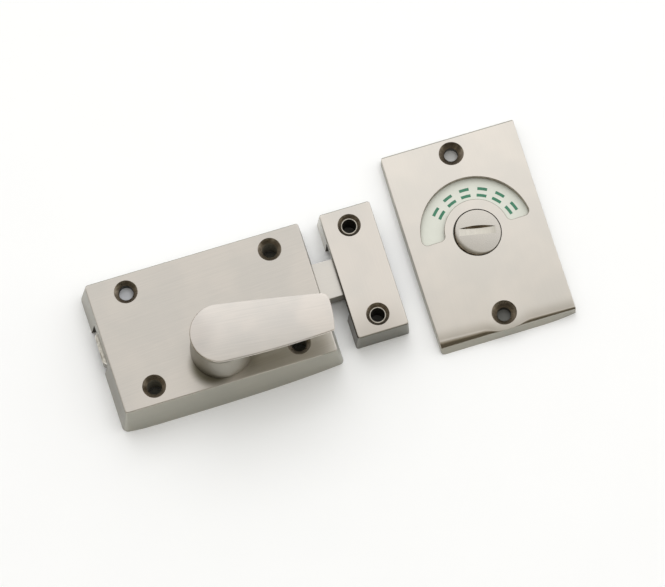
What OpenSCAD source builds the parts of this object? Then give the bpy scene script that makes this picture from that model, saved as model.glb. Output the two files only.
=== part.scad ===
// Toilet indicator bolt: bolt case with a lever turn, keep, and indicator plate with a coin release.
// Millimetres. The origin is the middle of the case's back face, +X is the way the bolt is thrown,
// +Z points away from the door. The bolt is drawn thrown, with its nose in the keep.

/* [Bolt case] */
// Length of the case along the bolt
case_l = 76; // [72:0.5:90]
// Width of the case across the bolt
case_w = 48; // [46:0.5:60]
// Height of the case off the door
case_h = 13.5; // [13:0.1:18]
// How far each side leans in at the top
case_lean = 2; // [0.5:0.1:3]
// Thickness of the case's face
case_face = 2.3; // [1.5:0.1:2.6]
// Thickness of the side walls at the top
case_wall = 2.2; // [1.5:0.1:2.6]
// Distance of the case's screw holes from its ends
case_hole_in_x = 13.4; // [12:0.1:15]
// Distance of the case's screw holes from its sides
case_hole_in_y = 7.4; // [7:0.1:8]
// Thickness of the back plate
back_t = 2; // [1.4:0.1:2.4]
// Distance between the back plate's own screws along the bolt
back_screws_x = 25; // [22:0.5:28]
// Distance of the back plate's own screws from the case's sides
back_screw_in_y = 8.5; // [8:0.1:9]

/* [Slide bolt] */
// Width of the bolt bar
bolt_w = 13; // [10:0.1:13.5]
// Thickness of the bolt bar
bolt_t = 6.4; // [5:0.1:6.8]
// Distance of the withdrawn nose behind the case's end
nose_back = 0.8; // [0.5:0.1:3]
// Distance of the thrown tail behind the case's other end
tail_back = 0.7; // [0.5:0.1:3]
// Chamfer on the nose
nose_chamfer = 0.8; // [0.3:0.1:1.5]
// Chamfer on the tail
tail_chamfer = 1.2; // [0.3:0.1:1.5]
// Thickness of the bolt's leaf spring
spring_t = 0.4; // [0.2:0.05:0.6]
// Width of the bolt's leaf spring
spring_w = 6; // [4:0.5:7]
// Length of the bolt's leaf spring
spring_l = 42; // [36:0.5:46]

/* [Turn] */
// Distance of the turn's axis from the case's middle, as a share of the case's width
turn_share = 0.223; // [0.21:0.001:0.23]
// Number of teeth on the follower
follower_teeth = 11; // [10:1:12]
// Radius of the follower's pitch circle
pitch_r = 5.5; // [5:0.05:5.8]
// Pressure angle of the teeth
pressure_angle = 25; // [22:1:27]
// Play between the teeth
backlash = 0.24; // [0.16:0.02:0.32]
// Radius of the follower's journals
journal_r = 4.5; // [4.3:0.05:4.55]
// Width of the square hole for the spindle
spindle_w = 5.1; // [4.2:0.1:5.2]
// Width of the follower's square tang in the hub
tang_w = 6.4; // [6:0.1:6.8]
// Length of that tang
tang_l = 9.6; // [7:0.1:10]
// Radius of the bush in the case's face
bush_r = 6; // [5.6:0.1:6.6]
// Radius of the bush's flange
bush_flange_r = 7.4; // [7:0.1:7.8]
// Thickness of the washer under the hub
washer_t = 0.5; // [0.3:0.1:1]
// Radius of the hub at its foot
hub_foot_r = 9.9; // [9:0.1:12]
// Radius of the hub at its top
hub_top_r = 9.3; // [8.8:0.1:11]
// Height of the paddle's top above the case's face
turn_rise = 20; // [18:0.5:26]
// Thickness of the paddle
paddle_t = 3; // [2.2:0.1:4]
// Radius of the paddle's round end
paddle_end_r = 9.6; // [9:0.1:11]
// Reach of the paddle from the turn's axis to its tip
paddle_reach = 36.9; // [30:0.1:42]
// Taper of each side of the paddle in degrees
paddle_taper = 5.1; // [3:0.1:6]
// Radius of the paddle's tip corner on the bolt's side
paddle_far_r = 3; // [1:0.1:4]
// Radius of the paddle's other tip corner
paddle_near_r = 1; // [0.6:0.1:3]
// Radius of the crown across the paddle's top
paddle_crown_r = 120; // [80:5:300]
// Angle of the paddle from the bolt's line at rest, in degrees
paddle_angle = -5.8; // [-10:0.1:0]
// Radius of the hub's set screw
set_screw_r = 1.5; // [1.2:0.1:2]

/* [Keep] */
// Length of the keep across the bolt
keep_l = 45.3; // [43:0.1:56]
// Width of the keep along the bolt
keep_w = 18.4; // [16:0.1:26]
// Height of the keep
keep_h = 11.1; // [10.7:0.1:16]
// How far each side of the keep leans in at the top
keep_lean = 1.1; // [0.3:0.1:2]
// Distance between the keep's screw holes
keep_holes_y = 31.7; // [31:0.1:34]
// Width of the tunnel through the keep
tunnel_w = 25; // [20:0.1:25.4]

/* [Indicator plate] */
// Length of the plate
plate_l = 69; // [67:0.5:84]
// Width of the plate
plate_w = 46.5; // [46:0.1:56]
// Height of the plate's crown
plate_h = 5.2; // [5:0.1:7]
// Height of the plate's ends
plate_end_h = 4.2; // [3.8:0.1:4.8]
// Radius of the rolled edge at the plate's ends
plate_roll_r = 1.2; // [0.5:0.1:2]
// How far the plate's long sides lean in at the top
plate_lean = 0.6; // [0.2:0.1:1.2]
// Distance of the plate's screw holes from its ends
plate_hole_in = 5.6; // [5:0.1:6.2]
// Outer radius of the half-ring window
window_r = 18.8; // [17:0.1:19]
// Inner radius of the half-ring window
window_inner_r = 10.9; // [10:0.1:12]
// Radius of the window's corners
window_corner_r = 1.8; // [0.8:0.1:2.4]
// Distance of the plate's web from the door
web_z = 2.9; // [2.8:0.05:3.1]
// Thickness of the back cover
cover_t = 0.8; // [0.5:0.05:0.9]
// How far the back cover reaches past the disc's recess along the plate
cover_lap_y = 1.3; // [0.8:0.1:1.6]
// How far the back cover reaches past the disc's recess across the plate
cover_lap_x = 0.15; // [0.05:0.05:0.3]
// Distance of the cover's screws from its ends
cover_screw_in_y = 2.7; // [2.4:0.1:3]
// Distance of the cover's screws from its sides
cover_screw_in_x = 3.35; // [3:0.05:3.6]

/* [Release and disc] */
// Radius of the release's head
release_r = 7.75; // [7:0.05:8.4]
// Gap between the head and the plate
release_gap = 0.25; // [0.1:0.05:0.4]
// Height of the dome on the head
release_dome = 0.4; // [0.1:0.05:0.8]
// Length of the coin slot
coin_slot_l = 11.3; // [9:0.1:13]
// Width of the coin slot
coin_slot_w = 2.7; // [2:0.1:3.2]
// Depth of the coin slot
coin_slot_d = 1.3; // [0.8:0.05:1.5]
// Angle of the coin slot at rest, in degrees
coin_slot_angle = -10; // [-20:1:0]
// Depth of the spindle hole in the release
release_socket_d = 2.9; // [2:0.1:3]
// Radius of the release's journal
release_journal_r = 4.5; // [4.2:0.05:5]
// Width of the flats that drive the disc
drive_flats_w = 9; // [8.8:0.1:9.6]
// Radius of the round part between those flats
drive_r = 5.4; // [5.2:0.05:5.8]
// Radius of the disc behind the window
disc_r = 19.6; // [19.4:0.05:19.7]
// Radius of the disc's stop segment
disc_stop_r = 21; // [20.8:0.05:21.2]
// Thickness of the disc
disc_t = 0.6; // [0.4:0.05:0.7]
// Radius of the stop pin
stop_pin_r = 0.8; // [0.5:0.05:0.85]
// Radius of the collar behind the disc
collar_r = 6.8; // [6:0.1:8]
// Thickness of the collar behind the disc
collar_t = 0.7; // [0.4:0.05:0.75]
// Thickness of the dished spring washer
dish_t = 0.25; // [0.15:0.05:0.3]
// Radius of the dished spring washer
dish_r = 8; // [7:0.1:9]

/* [Screws] */
// Radius of the wood screw holes in the case
case_hole_r = 2.5; // [2:0.05:2.7]
// Radius of the case's countersinks
case_sink_r = 3.9; // [3.4:0.05:4.3]
// Radius of the wood screw holes in the keep
keep_hole_r = 2.4; // [2:0.05:2.6]
// Radius of the keep's countersinks
keep_sink_r = 3.85; // [3.4:0.05:4.2]
// Radius of the wood screw holes in the plate
plate_hole_r = 2.35; // [2:0.05:2.6]
// Radius of the plate's countersinks
plate_sink_r = 4.1; // [3.4:0.05:4.3]
// Radius of the back plate's screws
back_screw_r = 1.5; // [1.2:0.05:1.6]
// Radius of the back cover's screws
cover_screw_r = 1; // [0.8:0.05:1.2]

/* [Layout] */
// Space between the case and the keep
keep_gap = 5.1; // [4:0.1:7]
// Distance of the keep's middle from the bolt's line
keep_shift = -0.7; // [-2:0.1:2]
// Space between the keep and the plate
plate_gap = 8.2; // [4:0.1:20]
// Distance of the plate's middle from the case's middle line
plate_y = 4.3; // [0:0.1:8]

/* [Clearances] */
// Radial play of the turning journals
journal_play = 0.06; // [0.03:0.01:0.09]
// Play of the pieces that are fitted together
fit_play = 0.05; // [0.02:0.01:0.08]
// Play of the bolt on the back plate
slide_play = 0.15; // [0.1:0.01:0.25]
// Play on each side of the bolt in the case's ends
notch_play = 0.4; // [0.2:0.05:0.6]
// Play between the bolt and the keep's roof
tunnel_play = 0.5; // [0.3:0.05:0.8]
// End play of the turning pieces
end_play = 0.15; // [0.1:0.01:0.25]

/* [Hidden] */

nickel = [0.80, 0.77, 0.72];
bare_brass = [0.72, 0.58, 0.32];
steel = [0.62, 0.63, 0.65];
fibre = [0.16, 0.13, 0.11];
off_white = [0.87, 0.87, 0.82];

$fn = 96;
wide_arc_fn = 1440;
cut = 1;

boss_wall = 1.3;
post_wall = 1.4;
small_head = 1.85;
back_screw_bite = 4;
cover_screw_bite = 2.2;
screw_end_room = 0.4;
spigot_r = 4;
spigot_step = 1;
socket_web = 0.3;
seam_h = 0.3;
seam_in = 0.7;
stop_l = 2;
stop_gap = 0.25;
stop_lift = 1;
nib_l = 1.2;
nib_h = 1;
set_screw_sunk = 0.6;
head_proud = 0.1;
recess_room = 0.6;
pin_seat = 1.3;
pin_drop = 0.3;
rack_lead = 2;

ceiling_z = case_h - case_face;
case_holes_x = case_l - 2 * case_hole_in_x;
case_holes_y = case_w - 2 * case_hole_in_y;
back_screws_y = case_w - 2 * back_screw_in_y;
cavity_l = case_l - 2 * (case_lean + case_wall);
cavity_w = case_w - 2 * (case_lean + case_wall);
boss_r = case_hole_r + boss_wall;
post_r = back_screw_r + post_wall;
back_sink_r = small_head * back_screw_r;
back_screw_l = back_t + back_screw_bite;

tooth_module = 2 * pitch_r / follower_teeth;
tooth_pitch = PI * tooth_module;
follower_addendum = 0.8 * tooth_module;
rack_addendum = 0.7 * tooth_module;
tooth_relief = 0.25 * tooth_module;
rack_dedendum = follower_addendum + 0.2 * tooth_module;
tip_r = pitch_r + follower_addendum;
root_r = pitch_r - rack_addendum - tooth_relief;
base_r = pitch_r * cos(pressure_angle);
throw = PI * pitch_r;
rack_teeth = floor(throw / tooth_pitch) + 2 * rack_lead;
rack_start = -rack_lead * tooth_pitch;
rack_end = rack_start + rack_teeth * tooth_pitch;

turn_y = -turn_share * case_w;
bolt_z = back_t + slide_play;
bolt_top = bolt_z + bolt_t;
bolt_low_y = turn_y + pitch_r + rack_dedendum;
bolt_y = bolt_low_y + bolt_w / 2;
notch_w = bolt_w + 2 * notch_play;
nose_x = case_l / 2 - nose_back + throw;
tail_x = -case_l / 2 + tail_back;

bush_z = bolt_top + 4 * end_play;
follower_teeth_z = back_t + 2 * end_play;
hub_z = case_h + washer_t + end_play;
paddle_top = case_h + turn_rise;
paddle_z = paddle_top - paddle_t;
hub_top = paddle_z - seam_h;
tang_z = hub_z;
tang_top = tang_z + tang_l;
spigot_z = tang_top + spigot_step;
socket_top = case_h - socket_web;
set_screw_z = (tang_z + tang_top) / 2;

keep_x = case_l / 2 + keep_gap + keep_w / 2;
keep_y = bolt_y + keep_shift;
tunnel_z = bolt_top + tunnel_play;

plate_x = keep_x + keep_w / 2 + plate_gap + plate_w / 2;
plate_holes_y = plate_l - 2 * plate_hole_in;
crown_half = plate_l / 2 - plate_roll_r;
crown_rise = plate_h - plate_end_h;
crown_r = (crown_half * crown_half + crown_rise * crown_rise) / (2 * crown_rise);
disc_z = web_z - end_play - disc_t;
head_z = disc_z + disc_t;
head_top = plate_h + head_proud;
head_dome_r = (release_r * release_r + release_dome * release_dome) / (2 * release_dome);
coin_cutter_r = (coin_slot_l * coin_slot_l / 4 + coin_slot_d * coin_slot_d) / (2 * coin_slot_d);
collar_z = disc_z - collar_t;
recess_r = disc_stop_r + recess_room;
cover_l = 2 * (recess_r + cover_lap_y);
cover_w = 2 * (recess_r + cover_lap_x);
cover_screws_y = cover_l - 2 * cover_screw_in_y;
cover_screws_x = cover_w - 2 * cover_screw_in_x;
stop_pin_at = disc_r + stop_pin_r + end_play;
stop_angle = asin((stop_pin_r + end_play) / stop_pin_at);
cover_sink_r = small_head * cover_screw_r;
cover_screw_l = cover_t + cover_screw_bite;

// Square profile, width w, with its corners taken off at radius r
module rounded_square(w, r) {
    intersection() {
        square(w, center = true);
        circle(r = r);
    }
}

// Box with leaning sides, standing on z = 0
module leaning_box(l, w, h, lean) {
    intersection() {
        rotate([90, 0, 0]) linear_extrude(w, center = true)
            polygon([[-l / 2, 0], [l / 2, 0], [l / 2 - lean, h], [-l / 2 + lean, h]]);
        rotate([90, 0, 90]) linear_extrude(l, center = true)
            polygon([[-w / 2, 0], [w / 2, 0], [w / 2 - lean, h], [-w / 2 + lean, h]]);
    }
}

// Countersunk hole cut from below z = 0 up through a face at z = top
module screw_hole(r, sink_r, top) {
    translate([0, 0, -cut]) cylinder(r = r, h = top + 2 * cut);
    translate([0, 0, top - (sink_r - r)]) cylinder(r1 = r, r2 = sink_r, h = sink_r - r);
    translate([0, 0, top]) cylinder(r = sink_r, h = cut);
}

// Countersunk screw with its head's face at z = 0 and its shank upwards
module small_screw(r, head_r, l) {
    difference() {
        union() {
            cylinder(r1 = head_r, r2 = r, h = head_r - r);
            cylinder(r = r, h = l);
        }
        translate([-head_r, -r / 5, -cut]) cube([2 * head_r, r * 2 / 5, cut + r / 3]);
    }
}

// Puts its children at the four corners of a rectangle
module at_corners(dx, dy) {
    for (sx = [-1, 1], sy = [-1, 1]) translate([sx * dx / 2, sy * dy / 2, 0]) children();
}

// Points of an arc around a centre, from angle a0 to a1
function arc(c, r, a0, a1, steps) =
    [for (i = [0:steps]) c + r * [cos(a0 + (a1 - a0) * i / steps), sin(a0 + (a1 - a0) * i / steps)]];

function degrees(rad) = rad * 180 / PI;
function involute(a) = degrees(tan(a)) - a;
// Half the angle that a follower tooth fills at radius r
function tooth_half(r) =
    degrees((tooth_pitch - backlash) / 4 / pitch_r) + involute(pressure_angle)
    - (r > base_r ? involute(acos(base_r / r)) : 0);

// Outline of the follower's teeth, one tooth pointing at the bolt
module follower_outline() {
    flank_steps = 6;
    flank_r = concat([root_r], [for (i = [0:flank_steps]) base_r + (tip_r - base_r) * i / flank_steps]);
    polygon([for (t = [0:follower_teeth - 1])
        let (mid = 90 + t * 360 / follower_teeth)
        each concat(
            [for (r = flank_r) r * [cos(mid - tooth_half(r)), sin(mid - tooth_half(r))]],
            [for (i = [len(flank_r) - 1:-1:0])
                flank_r[i] * [cos(mid + tooth_half(flank_r[i])), sin(mid + tooth_half(flank_r[i]))]])]);
}

// One rack tooth on the bolt's lower edge, its middle at x = 0 and its pitch line at y = 0
module rack_tooth() {
    half = (tooth_pitch - backlash) / 4;
    slope = tan(pressure_angle);
    sunk = rack_dedendum + fit_play;
    polygon([
        [-half + rack_addendum * slope, -rack_addendum],
        [half - rack_addendum * slope, -rack_addendum],
        [half + sunk * slope, sunk],
        [-half - sunk * slope, sunk]]);
}

module bolt_case() {
    stop_low = bolt_z + stop_lift;
    stop_near = bolt_low_y - notch_play;
    stop_far = -case_holes_y / 2;
    color(nickel) difference() {
        union() {
            difference() {
                leaning_box(case_l, case_w, case_h, case_lean);
                translate([-cavity_l / 2, -cavity_w / 2, -cut]) cube([cavity_l, cavity_w, ceiling_z + cut]);
                translate([-case_l / 2 - cut, bolt_y - notch_w / 2, -cut])
                    cube([case_l + 2 * cut, notch_w, bolt_top + notch_play + cut]);
            }
            at_corners(case_holes_x, case_holes_y)
                translate([0, 0, back_t]) cylinder(r = boss_r, h = ceiling_z - back_t + cut);
            at_corners(back_screws_x, back_screws_y)
                translate([0, 0, back_t]) cylinder(r = post_r, h = ceiling_z - back_t + cut);
            for (x = [rack_end + stop_gap, rack_start - throw - stop_gap - stop_l])
                translate([x, stop_far, stop_low])
                    cube([stop_l, stop_near - stop_far, ceiling_z - stop_low + cut]);
            for (x = [spring_l / 2 + 2 * fit_play, -spring_l / 2 - 2 * fit_play - nib_l])
                translate([x, bolt_y - spring_w / 2, ceiling_z - nib_h])
                    cube([nib_l, spring_w, nib_h + cut]);
        }
        at_corners(case_holes_x, case_holes_y) screw_hole(case_hole_r, case_sink_r, case_h);
        at_corners(back_screws_x, back_screws_y)
            translate([0, 0, -cut])
                cylinder(r = back_screw_r + fit_play, h = back_screw_l + cut + screw_end_room);
        translate([0, turn_y, ceiling_z - cut]) cylinder(r = bush_r + fit_play, h = case_face + 2 * cut);
    }
}

module case_back_plate() {
    edge = 2 * fit_play;
    tongue_l = case_l - 2 * tail_back;
    color(steel) difference() {
        union() {
            translate([-cavity_l / 2 + edge, -cavity_w / 2 + edge, 0])
                cube([cavity_l - 2 * edge, cavity_w - 2 * edge, back_t]);
            translate([-tongue_l / 2, bolt_y - notch_w / 2 + edge, 0])
                cube([tongue_l, notch_w - 2 * edge, back_t]);
        }
        at_corners(case_holes_x, case_holes_y)
            translate([0, 0, -cut]) cylinder(r = case_hole_r, h = back_t + 2 * cut);
        translate([0, turn_y, -cut]) cylinder(r = journal_r + journal_play, h = back_t + 2 * cut);
        at_corners(back_screws_x, back_screws_y) mirror([0, 0, 1]) translate([0, 0, -back_t])
            screw_hole(back_screw_r + fit_play, back_sink_r + fit_play, back_t);
    }
}

module back_plate_screws() {
    color(steel) at_corners(back_screws_x, back_screws_y)
        small_screw(back_screw_r, back_sink_r, back_screw_l);
}

module turn_bush() {
    color(bare_brass) translate([0, turn_y, 0]) difference() {
        union() {
            translate([0, 0, bush_z]) cylinder(r = bush_flange_r, h = ceiling_z - bush_z);
            translate([0, 0, bush_z]) cylinder(r = bush_r, h = case_h - bush_z);
        }
        translate([0, 0, bush_z - cut])
            cylinder(r = journal_r + journal_play, h = case_h - bush_z + 2 * cut);
    }
}

module turn_follower() {
    teeth_top = bush_z - end_play;
    foot_z = end_play;
    color(bare_brass) translate([0, turn_y, 0]) difference() {
        union() {
            translate([0, 0, foot_z]) cylinder(r = journal_r, h = tang_z - foot_z);
            translate([0, 0, follower_teeth_z])
                linear_extrude(teeth_top - follower_teeth_z) follower_outline();
            translate([0, 0, tang_z - cut])
                linear_extrude(tang_top - tang_z + cut) rounded_square(tang_w, journal_r);
        }
        translate([-spindle_w / 2, -spindle_w / 2, -cut]) cube([spindle_w, spindle_w, socket_top + cut]);
    }
}

module hub_washer() {
    color(fibre) translate([0, turn_y, case_h]) difference() {
        cylinder(r = hub_top_r, h = washer_t);
        translate([0, 0, -cut]) cylinder(r = journal_r + 4 * journal_play, h = washer_t + 2 * cut);
    }
}

module turn_hub() {
    color(nickel) translate([0, turn_y, 0]) difference() {
        translate([0, 0, hub_z]) cylinder(r1 = hub_foot_r, r2 = hub_top_r, h = hub_top - hub_z);
        translate([0, 0, hub_z - cut]) linear_extrude(tang_top - hub_z + cut + 4 * fit_play)
            rounded_square(tang_w + 2 * fit_play, journal_r + fit_play);
        translate([0, 0, spigot_z - 4 * fit_play])
            cylinder(r = spigot_r + fit_play, h = hub_top - spigot_z + cut);
        translate([0, 0, set_screw_z]) rotate([-90, 0, 0])
            cylinder(r = set_screw_r + fit_play, h = hub_foot_r + cut);
    }
}

// Angle from the paddle's line to the middle of a tip corner of radius r
function corner_angle(r) = asin((paddle_end_r - r) / (paddle_reach - r)) - paddle_taper;
// Middle of a tip corner of radius r at angle a
function corner_middle(r, a) = (paddle_reach - r) * [cos(a), sin(a)];

// Outline of the paddle: a round end on the turn's axis, tapered sides and a tip rounded about that axis
module paddle_outline() {
    side = 90 - paddle_taper;
    start = paddle_end_r * [cos(side), sin(side)];
    far = corner_angle(paddle_far_r);
    near = corner_angle(paddle_near_r);
    tip_steps = 12;
    circle(r = paddle_end_r);
    polygon(concat(
        [[start.x, -start.y]],
        arc(corner_middle(paddle_near_r, -near), paddle_near_r, -side, -near, tip_steps),
        arc([0, 0], paddle_reach, -near, far, tip_steps),
        arc(corner_middle(paddle_far_r, far), paddle_far_r, far, side, tip_steps),
        [start]));
}

module turn_lever() {
    color(nickel) translate([0, turn_y, 0]) {
        rotate([0, 0, paddle_angle]) intersection() {
            translate([0, 0, paddle_z]) linear_extrude(paddle_t) paddle_outline();
            translate([-paddle_reach, 0, paddle_top - paddle_crown_r]) rotate([0, 90, 0])
                cylinder(r = paddle_crown_r, h = 3 * paddle_reach, $fn = wide_arc_fn);
        }
        translate([0, 0, hub_top]) cylinder(r = hub_top_r - seam_in, h = seam_h + paddle_t / 2);
        translate([0, 0, spigot_z]) cylinder(r = spigot_r, h = hub_top - spigot_z + cut);
    }
}

module hub_set_screw() {
    screw_l = hub_top_r - tang_w / 2 - set_screw_sunk;
    key_w = set_screw_r * 0.9;
    color(steel) translate([0, turn_y, set_screw_z]) rotate([-90, 0, 0])
        translate([0, 0, tang_w / 2 + fit_play]) difference() {
            cylinder(r = set_screw_r, h = screw_l);
            translate([0, 0, screw_l - set_screw_r])
                cylinder(d = key_w / cos(30), h = set_screw_r + cut, $fn = 6);
        }
}

// Outline of the bolt: a bar with chamfered ends and the rack on its lower edge
module bolt_outline() {
    high_y = bolt_low_y + bolt_w;
    polygon([
        [tail_x + tail_chamfer, bolt_low_y],
        [nose_x - nose_chamfer, bolt_low_y],
        [nose_x, bolt_low_y + nose_chamfer],
        [nose_x, high_y - nose_chamfer],
        [nose_x - nose_chamfer, high_y],
        [tail_x + tail_chamfer, high_y],
        [tail_x, high_y - tail_chamfer],
        [tail_x, bolt_low_y + tail_chamfer]]);
    translate([0, bolt_low_y - rack_dedendum])
        for (t = [0:rack_teeth - 1]) translate([rack_start + (t + 0.5) * tooth_pitch, 0]) rack_tooth();
}

module slide_bolt() {
    color(nickel) translate([0, 0, bolt_z]) linear_extrude(bolt_t) bolt_outline();
}

module bolt_spring() {
    low_z = bolt_top + end_play;
    bow = ceiling_z - low_z - spring_t - fit_play;
    bow_r = (spring_l * spring_l / 4 + bow * bow) / (2 * bow);
    color(steel) translate([0, bolt_y, 0]) rotate([90, 0, 0]) linear_extrude(spring_w, center = true)
        intersection() {
            translate([0, low_z + spring_t + bow_r]) difference() {
                circle(r = bow_r + spring_t, $fn = wide_arc_fn);
                circle(r = bow_r, $fn = wide_arc_fn);
            }
            translate([-spring_l / 2, 0]) square([spring_l, ceiling_z - fit_play]);
        }
}

module keep() {
    color(nickel) translate([keep_x, keep_y, 0]) difference() {
        leaning_box(keep_w, keep_l, keep_h, keep_lean);
        translate([-keep_w / 2 - cut, -tunnel_w / 2, -cut])
            cube([keep_w + 2 * cut, tunnel_w, tunnel_z + cut]);
        for (s = [-1, 1]) translate([0, s * keep_holes_y / 2, 0])
            screw_hole(keep_hole_r, keep_sink_r, keep_h);
    }
}

// Height of the plate's crowned top at a distance y from its middle
function plate_top(y) = plate_h - crown_r + sqrt(crown_r * crown_r - y * y);

// Lengthwise section of the plate
module plate_section() {
    translate([-plate_l / 2, 0]) square([plate_l, plate_end_h - plate_roll_r]);
    for (s = [-1, 1]) translate([s * crown_half, plate_end_h - plate_roll_r]) circle(r = plate_roll_r);
    intersection() {
        translate([0, plate_h - crown_r]) circle(r = crown_r, $fn = wide_arc_fn);
        translate([-crown_half, 0]) square([2 * crown_half, plate_h + cut]);
    }
}

// Outline of the half-ring window with rounded corners
module window_outline() {
    c = window_corner_r;
    outer = [sqrt(pow(window_r - c, 2) - c * c), c];
    inner = [sqrt(pow(window_inner_r + c, 2) - c * c), c];
    outer_a = atan2(outer.y, outer.x);
    inner_a = atan2(inner.y, inner.x);
    long_steps = 60;
    short_steps = 10;
    polygon(concat(
        arc([0, 0], window_r, outer_a, 180 - outer_a, long_steps),
        arc([-outer.x, c], c, 180 - outer_a, 270, short_steps),
        arc([-inner.x, c], c, 270, 360 - inner_a, short_steps),
        arc([0, 0], window_inner_r, 180 - inner_a, inner_a, long_steps),
        arc(inner, c, 180 + inner_a, 270, short_steps),
        arc(outer, c, 270, 360 + outer_a, short_steps)));
}

module indicator_plate() {
    pocket = 2 * fit_play;
    color(nickel) translate([plate_x, plate_y, 0]) difference() {
        intersection() {
            rotate([90, 0, 90]) linear_extrude(plate_w, center = true) plate_section();
            rotate([90, 0, 0]) linear_extrude(plate_l, center = true)
                polygon([[-plate_w / 2, 0], [plate_w / 2, 0],
                    [plate_w / 2 - plate_lean, plate_h], [-plate_w / 2 + plate_lean, plate_h]]);
        }
        translate([0, 0, -cut]) cylinder(r = recess_r, h = web_z + cut);
        translate([-cover_w / 2 - pocket, -cover_l / 2 - pocket, -cut])
            cube([cover_w + 2 * pocket, cover_l + 2 * pocket, cover_t + cut]);
        translate([0, 0, -cut]) cylinder(r = release_r + release_gap, h = plate_h + 2 * cut);
        translate([0, 0, web_z - cut]) linear_extrude(plate_h) window_outline();
        for (s = [-1, 1]) translate([0, s * plate_holes_y / 2, 0])
            screw_hole(plate_hole_r, plate_sink_r, plate_top(plate_holes_y / 2));
        at_corners(cover_screws_x, cover_screws_y)
            translate([0, 0, -cut])
                cylinder(r = cover_screw_r + fit_play, h = cover_screw_l + cut + screw_end_room);
        translate([0, -stop_pin_at, web_z - cut]) cylinder(r = stop_pin_r + fit_play, h = pin_seat + cut);
    }
}

module release_knob() {
    foot_z = fit_play;
    color(nickel) translate([plate_x, plate_y, 0]) difference() {
        union() {
            rotate_extrude() intersection() {
                translate([0, head_z]) square([release_r, head_top - head_z]);
                translate([0, head_top - head_dome_r]) circle(r = head_dome_r, $fn = wide_arc_fn);
            }
            translate([0, 0, disc_z]) linear_extrude(disc_t + cut) rotate(coin_slot_angle) intersection() {
                circle(r = drive_r);
                square([2 * drive_r, drive_flats_w], center = true);
            }
            translate([0, 0, foot_z]) cylinder(r = release_journal_r, h = disc_z - foot_z + cut);
        }
        translate([-spindle_w / 2, -spindle_w / 2, -cut])
            cube([spindle_w, spindle_w, release_socket_d + cut]);
        rotate([0, 0, coin_slot_angle]) translate([0, 0, head_top - coin_slot_d + coin_cutter_r])
            rotate([90, 0, 0]) cylinder(r = coin_cutter_r, h = coin_slot_w, center = true);
    }
}

module indicator_disc() {
    color(off_white) translate([plate_x, plate_y, disc_z]) linear_extrude(disc_t) difference() {
        union() {
            circle(r = disc_r);
            intersection() {
                circle(r = disc_stop_r);
                polygon(concat([[0, 0]], arc([0, 0], 2 * disc_stop_r, stop_angle - 90, 90 - stop_angle, 8)));
            }
        }
        rotate(coin_slot_angle) intersection() {
            circle(r = drive_r + fit_play);
            square([3 * drive_r, drive_flats_w + 2 * fit_play], center = true);
        }
    }
}

module disc_collar() {
    color(bare_brass) translate([plate_x, plate_y, collar_z]) difference() {
        cylinder(r = collar_r, h = collar_t);
        translate([0, 0, -cut]) cylinder(r = release_journal_r + fit_play, h = collar_t + 2 * cut);
    }
}

module release_spring() {
    inner_r = release_journal_r + 4 * fit_play;
    low = cover_t + fit_play;
    high = collar_z - fit_play;
    color(steel) translate([plate_x, plate_y, 0]) rotate_extrude()
        polygon([[inner_r, high - dish_t], [dish_r, low], [dish_r, low + dish_t], [inner_r, high]]);
}

module indicator_back_cover() {
    color(steel) translate([plate_x, plate_y, 0]) difference() {
        translate([-cover_w / 2, -cover_l / 2, 0]) cube([cover_w, cover_l, cover_t]);
        translate([0, 0, -cut]) cylinder(r = release_journal_r + journal_play, h = cover_t + 2 * cut);
        at_corners(cover_screws_x, cover_screws_y) mirror([0, 0, 1]) translate([0, 0, -cover_t])
            screw_hole(cover_screw_r + fit_play, cover_sink_r + fit_play, cover_t);
    }
}

module cover_screws() {
    color(steel) translate([plate_x, plate_y, 0]) at_corners(cover_screws_x, cover_screws_y)
        small_screw(cover_screw_r, cover_sink_r, cover_screw_l);
}

module disc_stop_pin() {
    pin_low = disc_z - pin_drop;
    pin_top = web_z + pin_seat - 2 * fit_play;
    color(steel) translate([plate_x, plate_y - stop_pin_at, pin_low])
        cylinder(r = stop_pin_r, h = pin_top - pin_low);
}

bolt_case();
case_back_plate();
back_plate_screws();
turn_bush();
turn_follower();
hub_washer();
turn_hub();
turn_lever();
hub_set_screw();
slide_bolt();
bolt_spring();
keep();
indicator_plate();
release_knob();
indicator_disc();
disc_collar();
release_spring();
indicator_back_cover();
cover_screws();
disc_stop_pin();
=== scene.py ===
"""Looks of a toilet indicator bolt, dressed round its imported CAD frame.

Meshes are made in millimetres in the row frame and put into the scene in metres.
"""

import logging
import math
from dataclasses import dataclass
from enum import Enum
from typing import Any, Callable, Sequence

import bmesh
import bpy
from mathutils import Matrix, Vector


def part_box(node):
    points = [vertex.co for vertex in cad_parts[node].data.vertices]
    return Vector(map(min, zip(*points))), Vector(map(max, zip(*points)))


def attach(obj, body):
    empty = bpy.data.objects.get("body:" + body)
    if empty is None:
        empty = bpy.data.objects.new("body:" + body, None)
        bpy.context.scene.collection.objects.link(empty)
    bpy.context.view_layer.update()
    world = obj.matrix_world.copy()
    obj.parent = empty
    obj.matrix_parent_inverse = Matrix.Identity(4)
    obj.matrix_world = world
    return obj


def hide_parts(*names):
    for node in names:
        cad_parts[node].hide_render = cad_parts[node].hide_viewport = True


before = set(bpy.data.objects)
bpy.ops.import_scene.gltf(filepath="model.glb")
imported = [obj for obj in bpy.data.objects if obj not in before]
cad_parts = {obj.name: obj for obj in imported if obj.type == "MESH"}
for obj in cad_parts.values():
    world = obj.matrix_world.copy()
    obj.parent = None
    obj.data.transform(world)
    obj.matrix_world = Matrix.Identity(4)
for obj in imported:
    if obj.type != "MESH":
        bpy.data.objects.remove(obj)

LOG = logging.getLogger("indicator_bolt")
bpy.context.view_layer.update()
MM = 0.001

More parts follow.
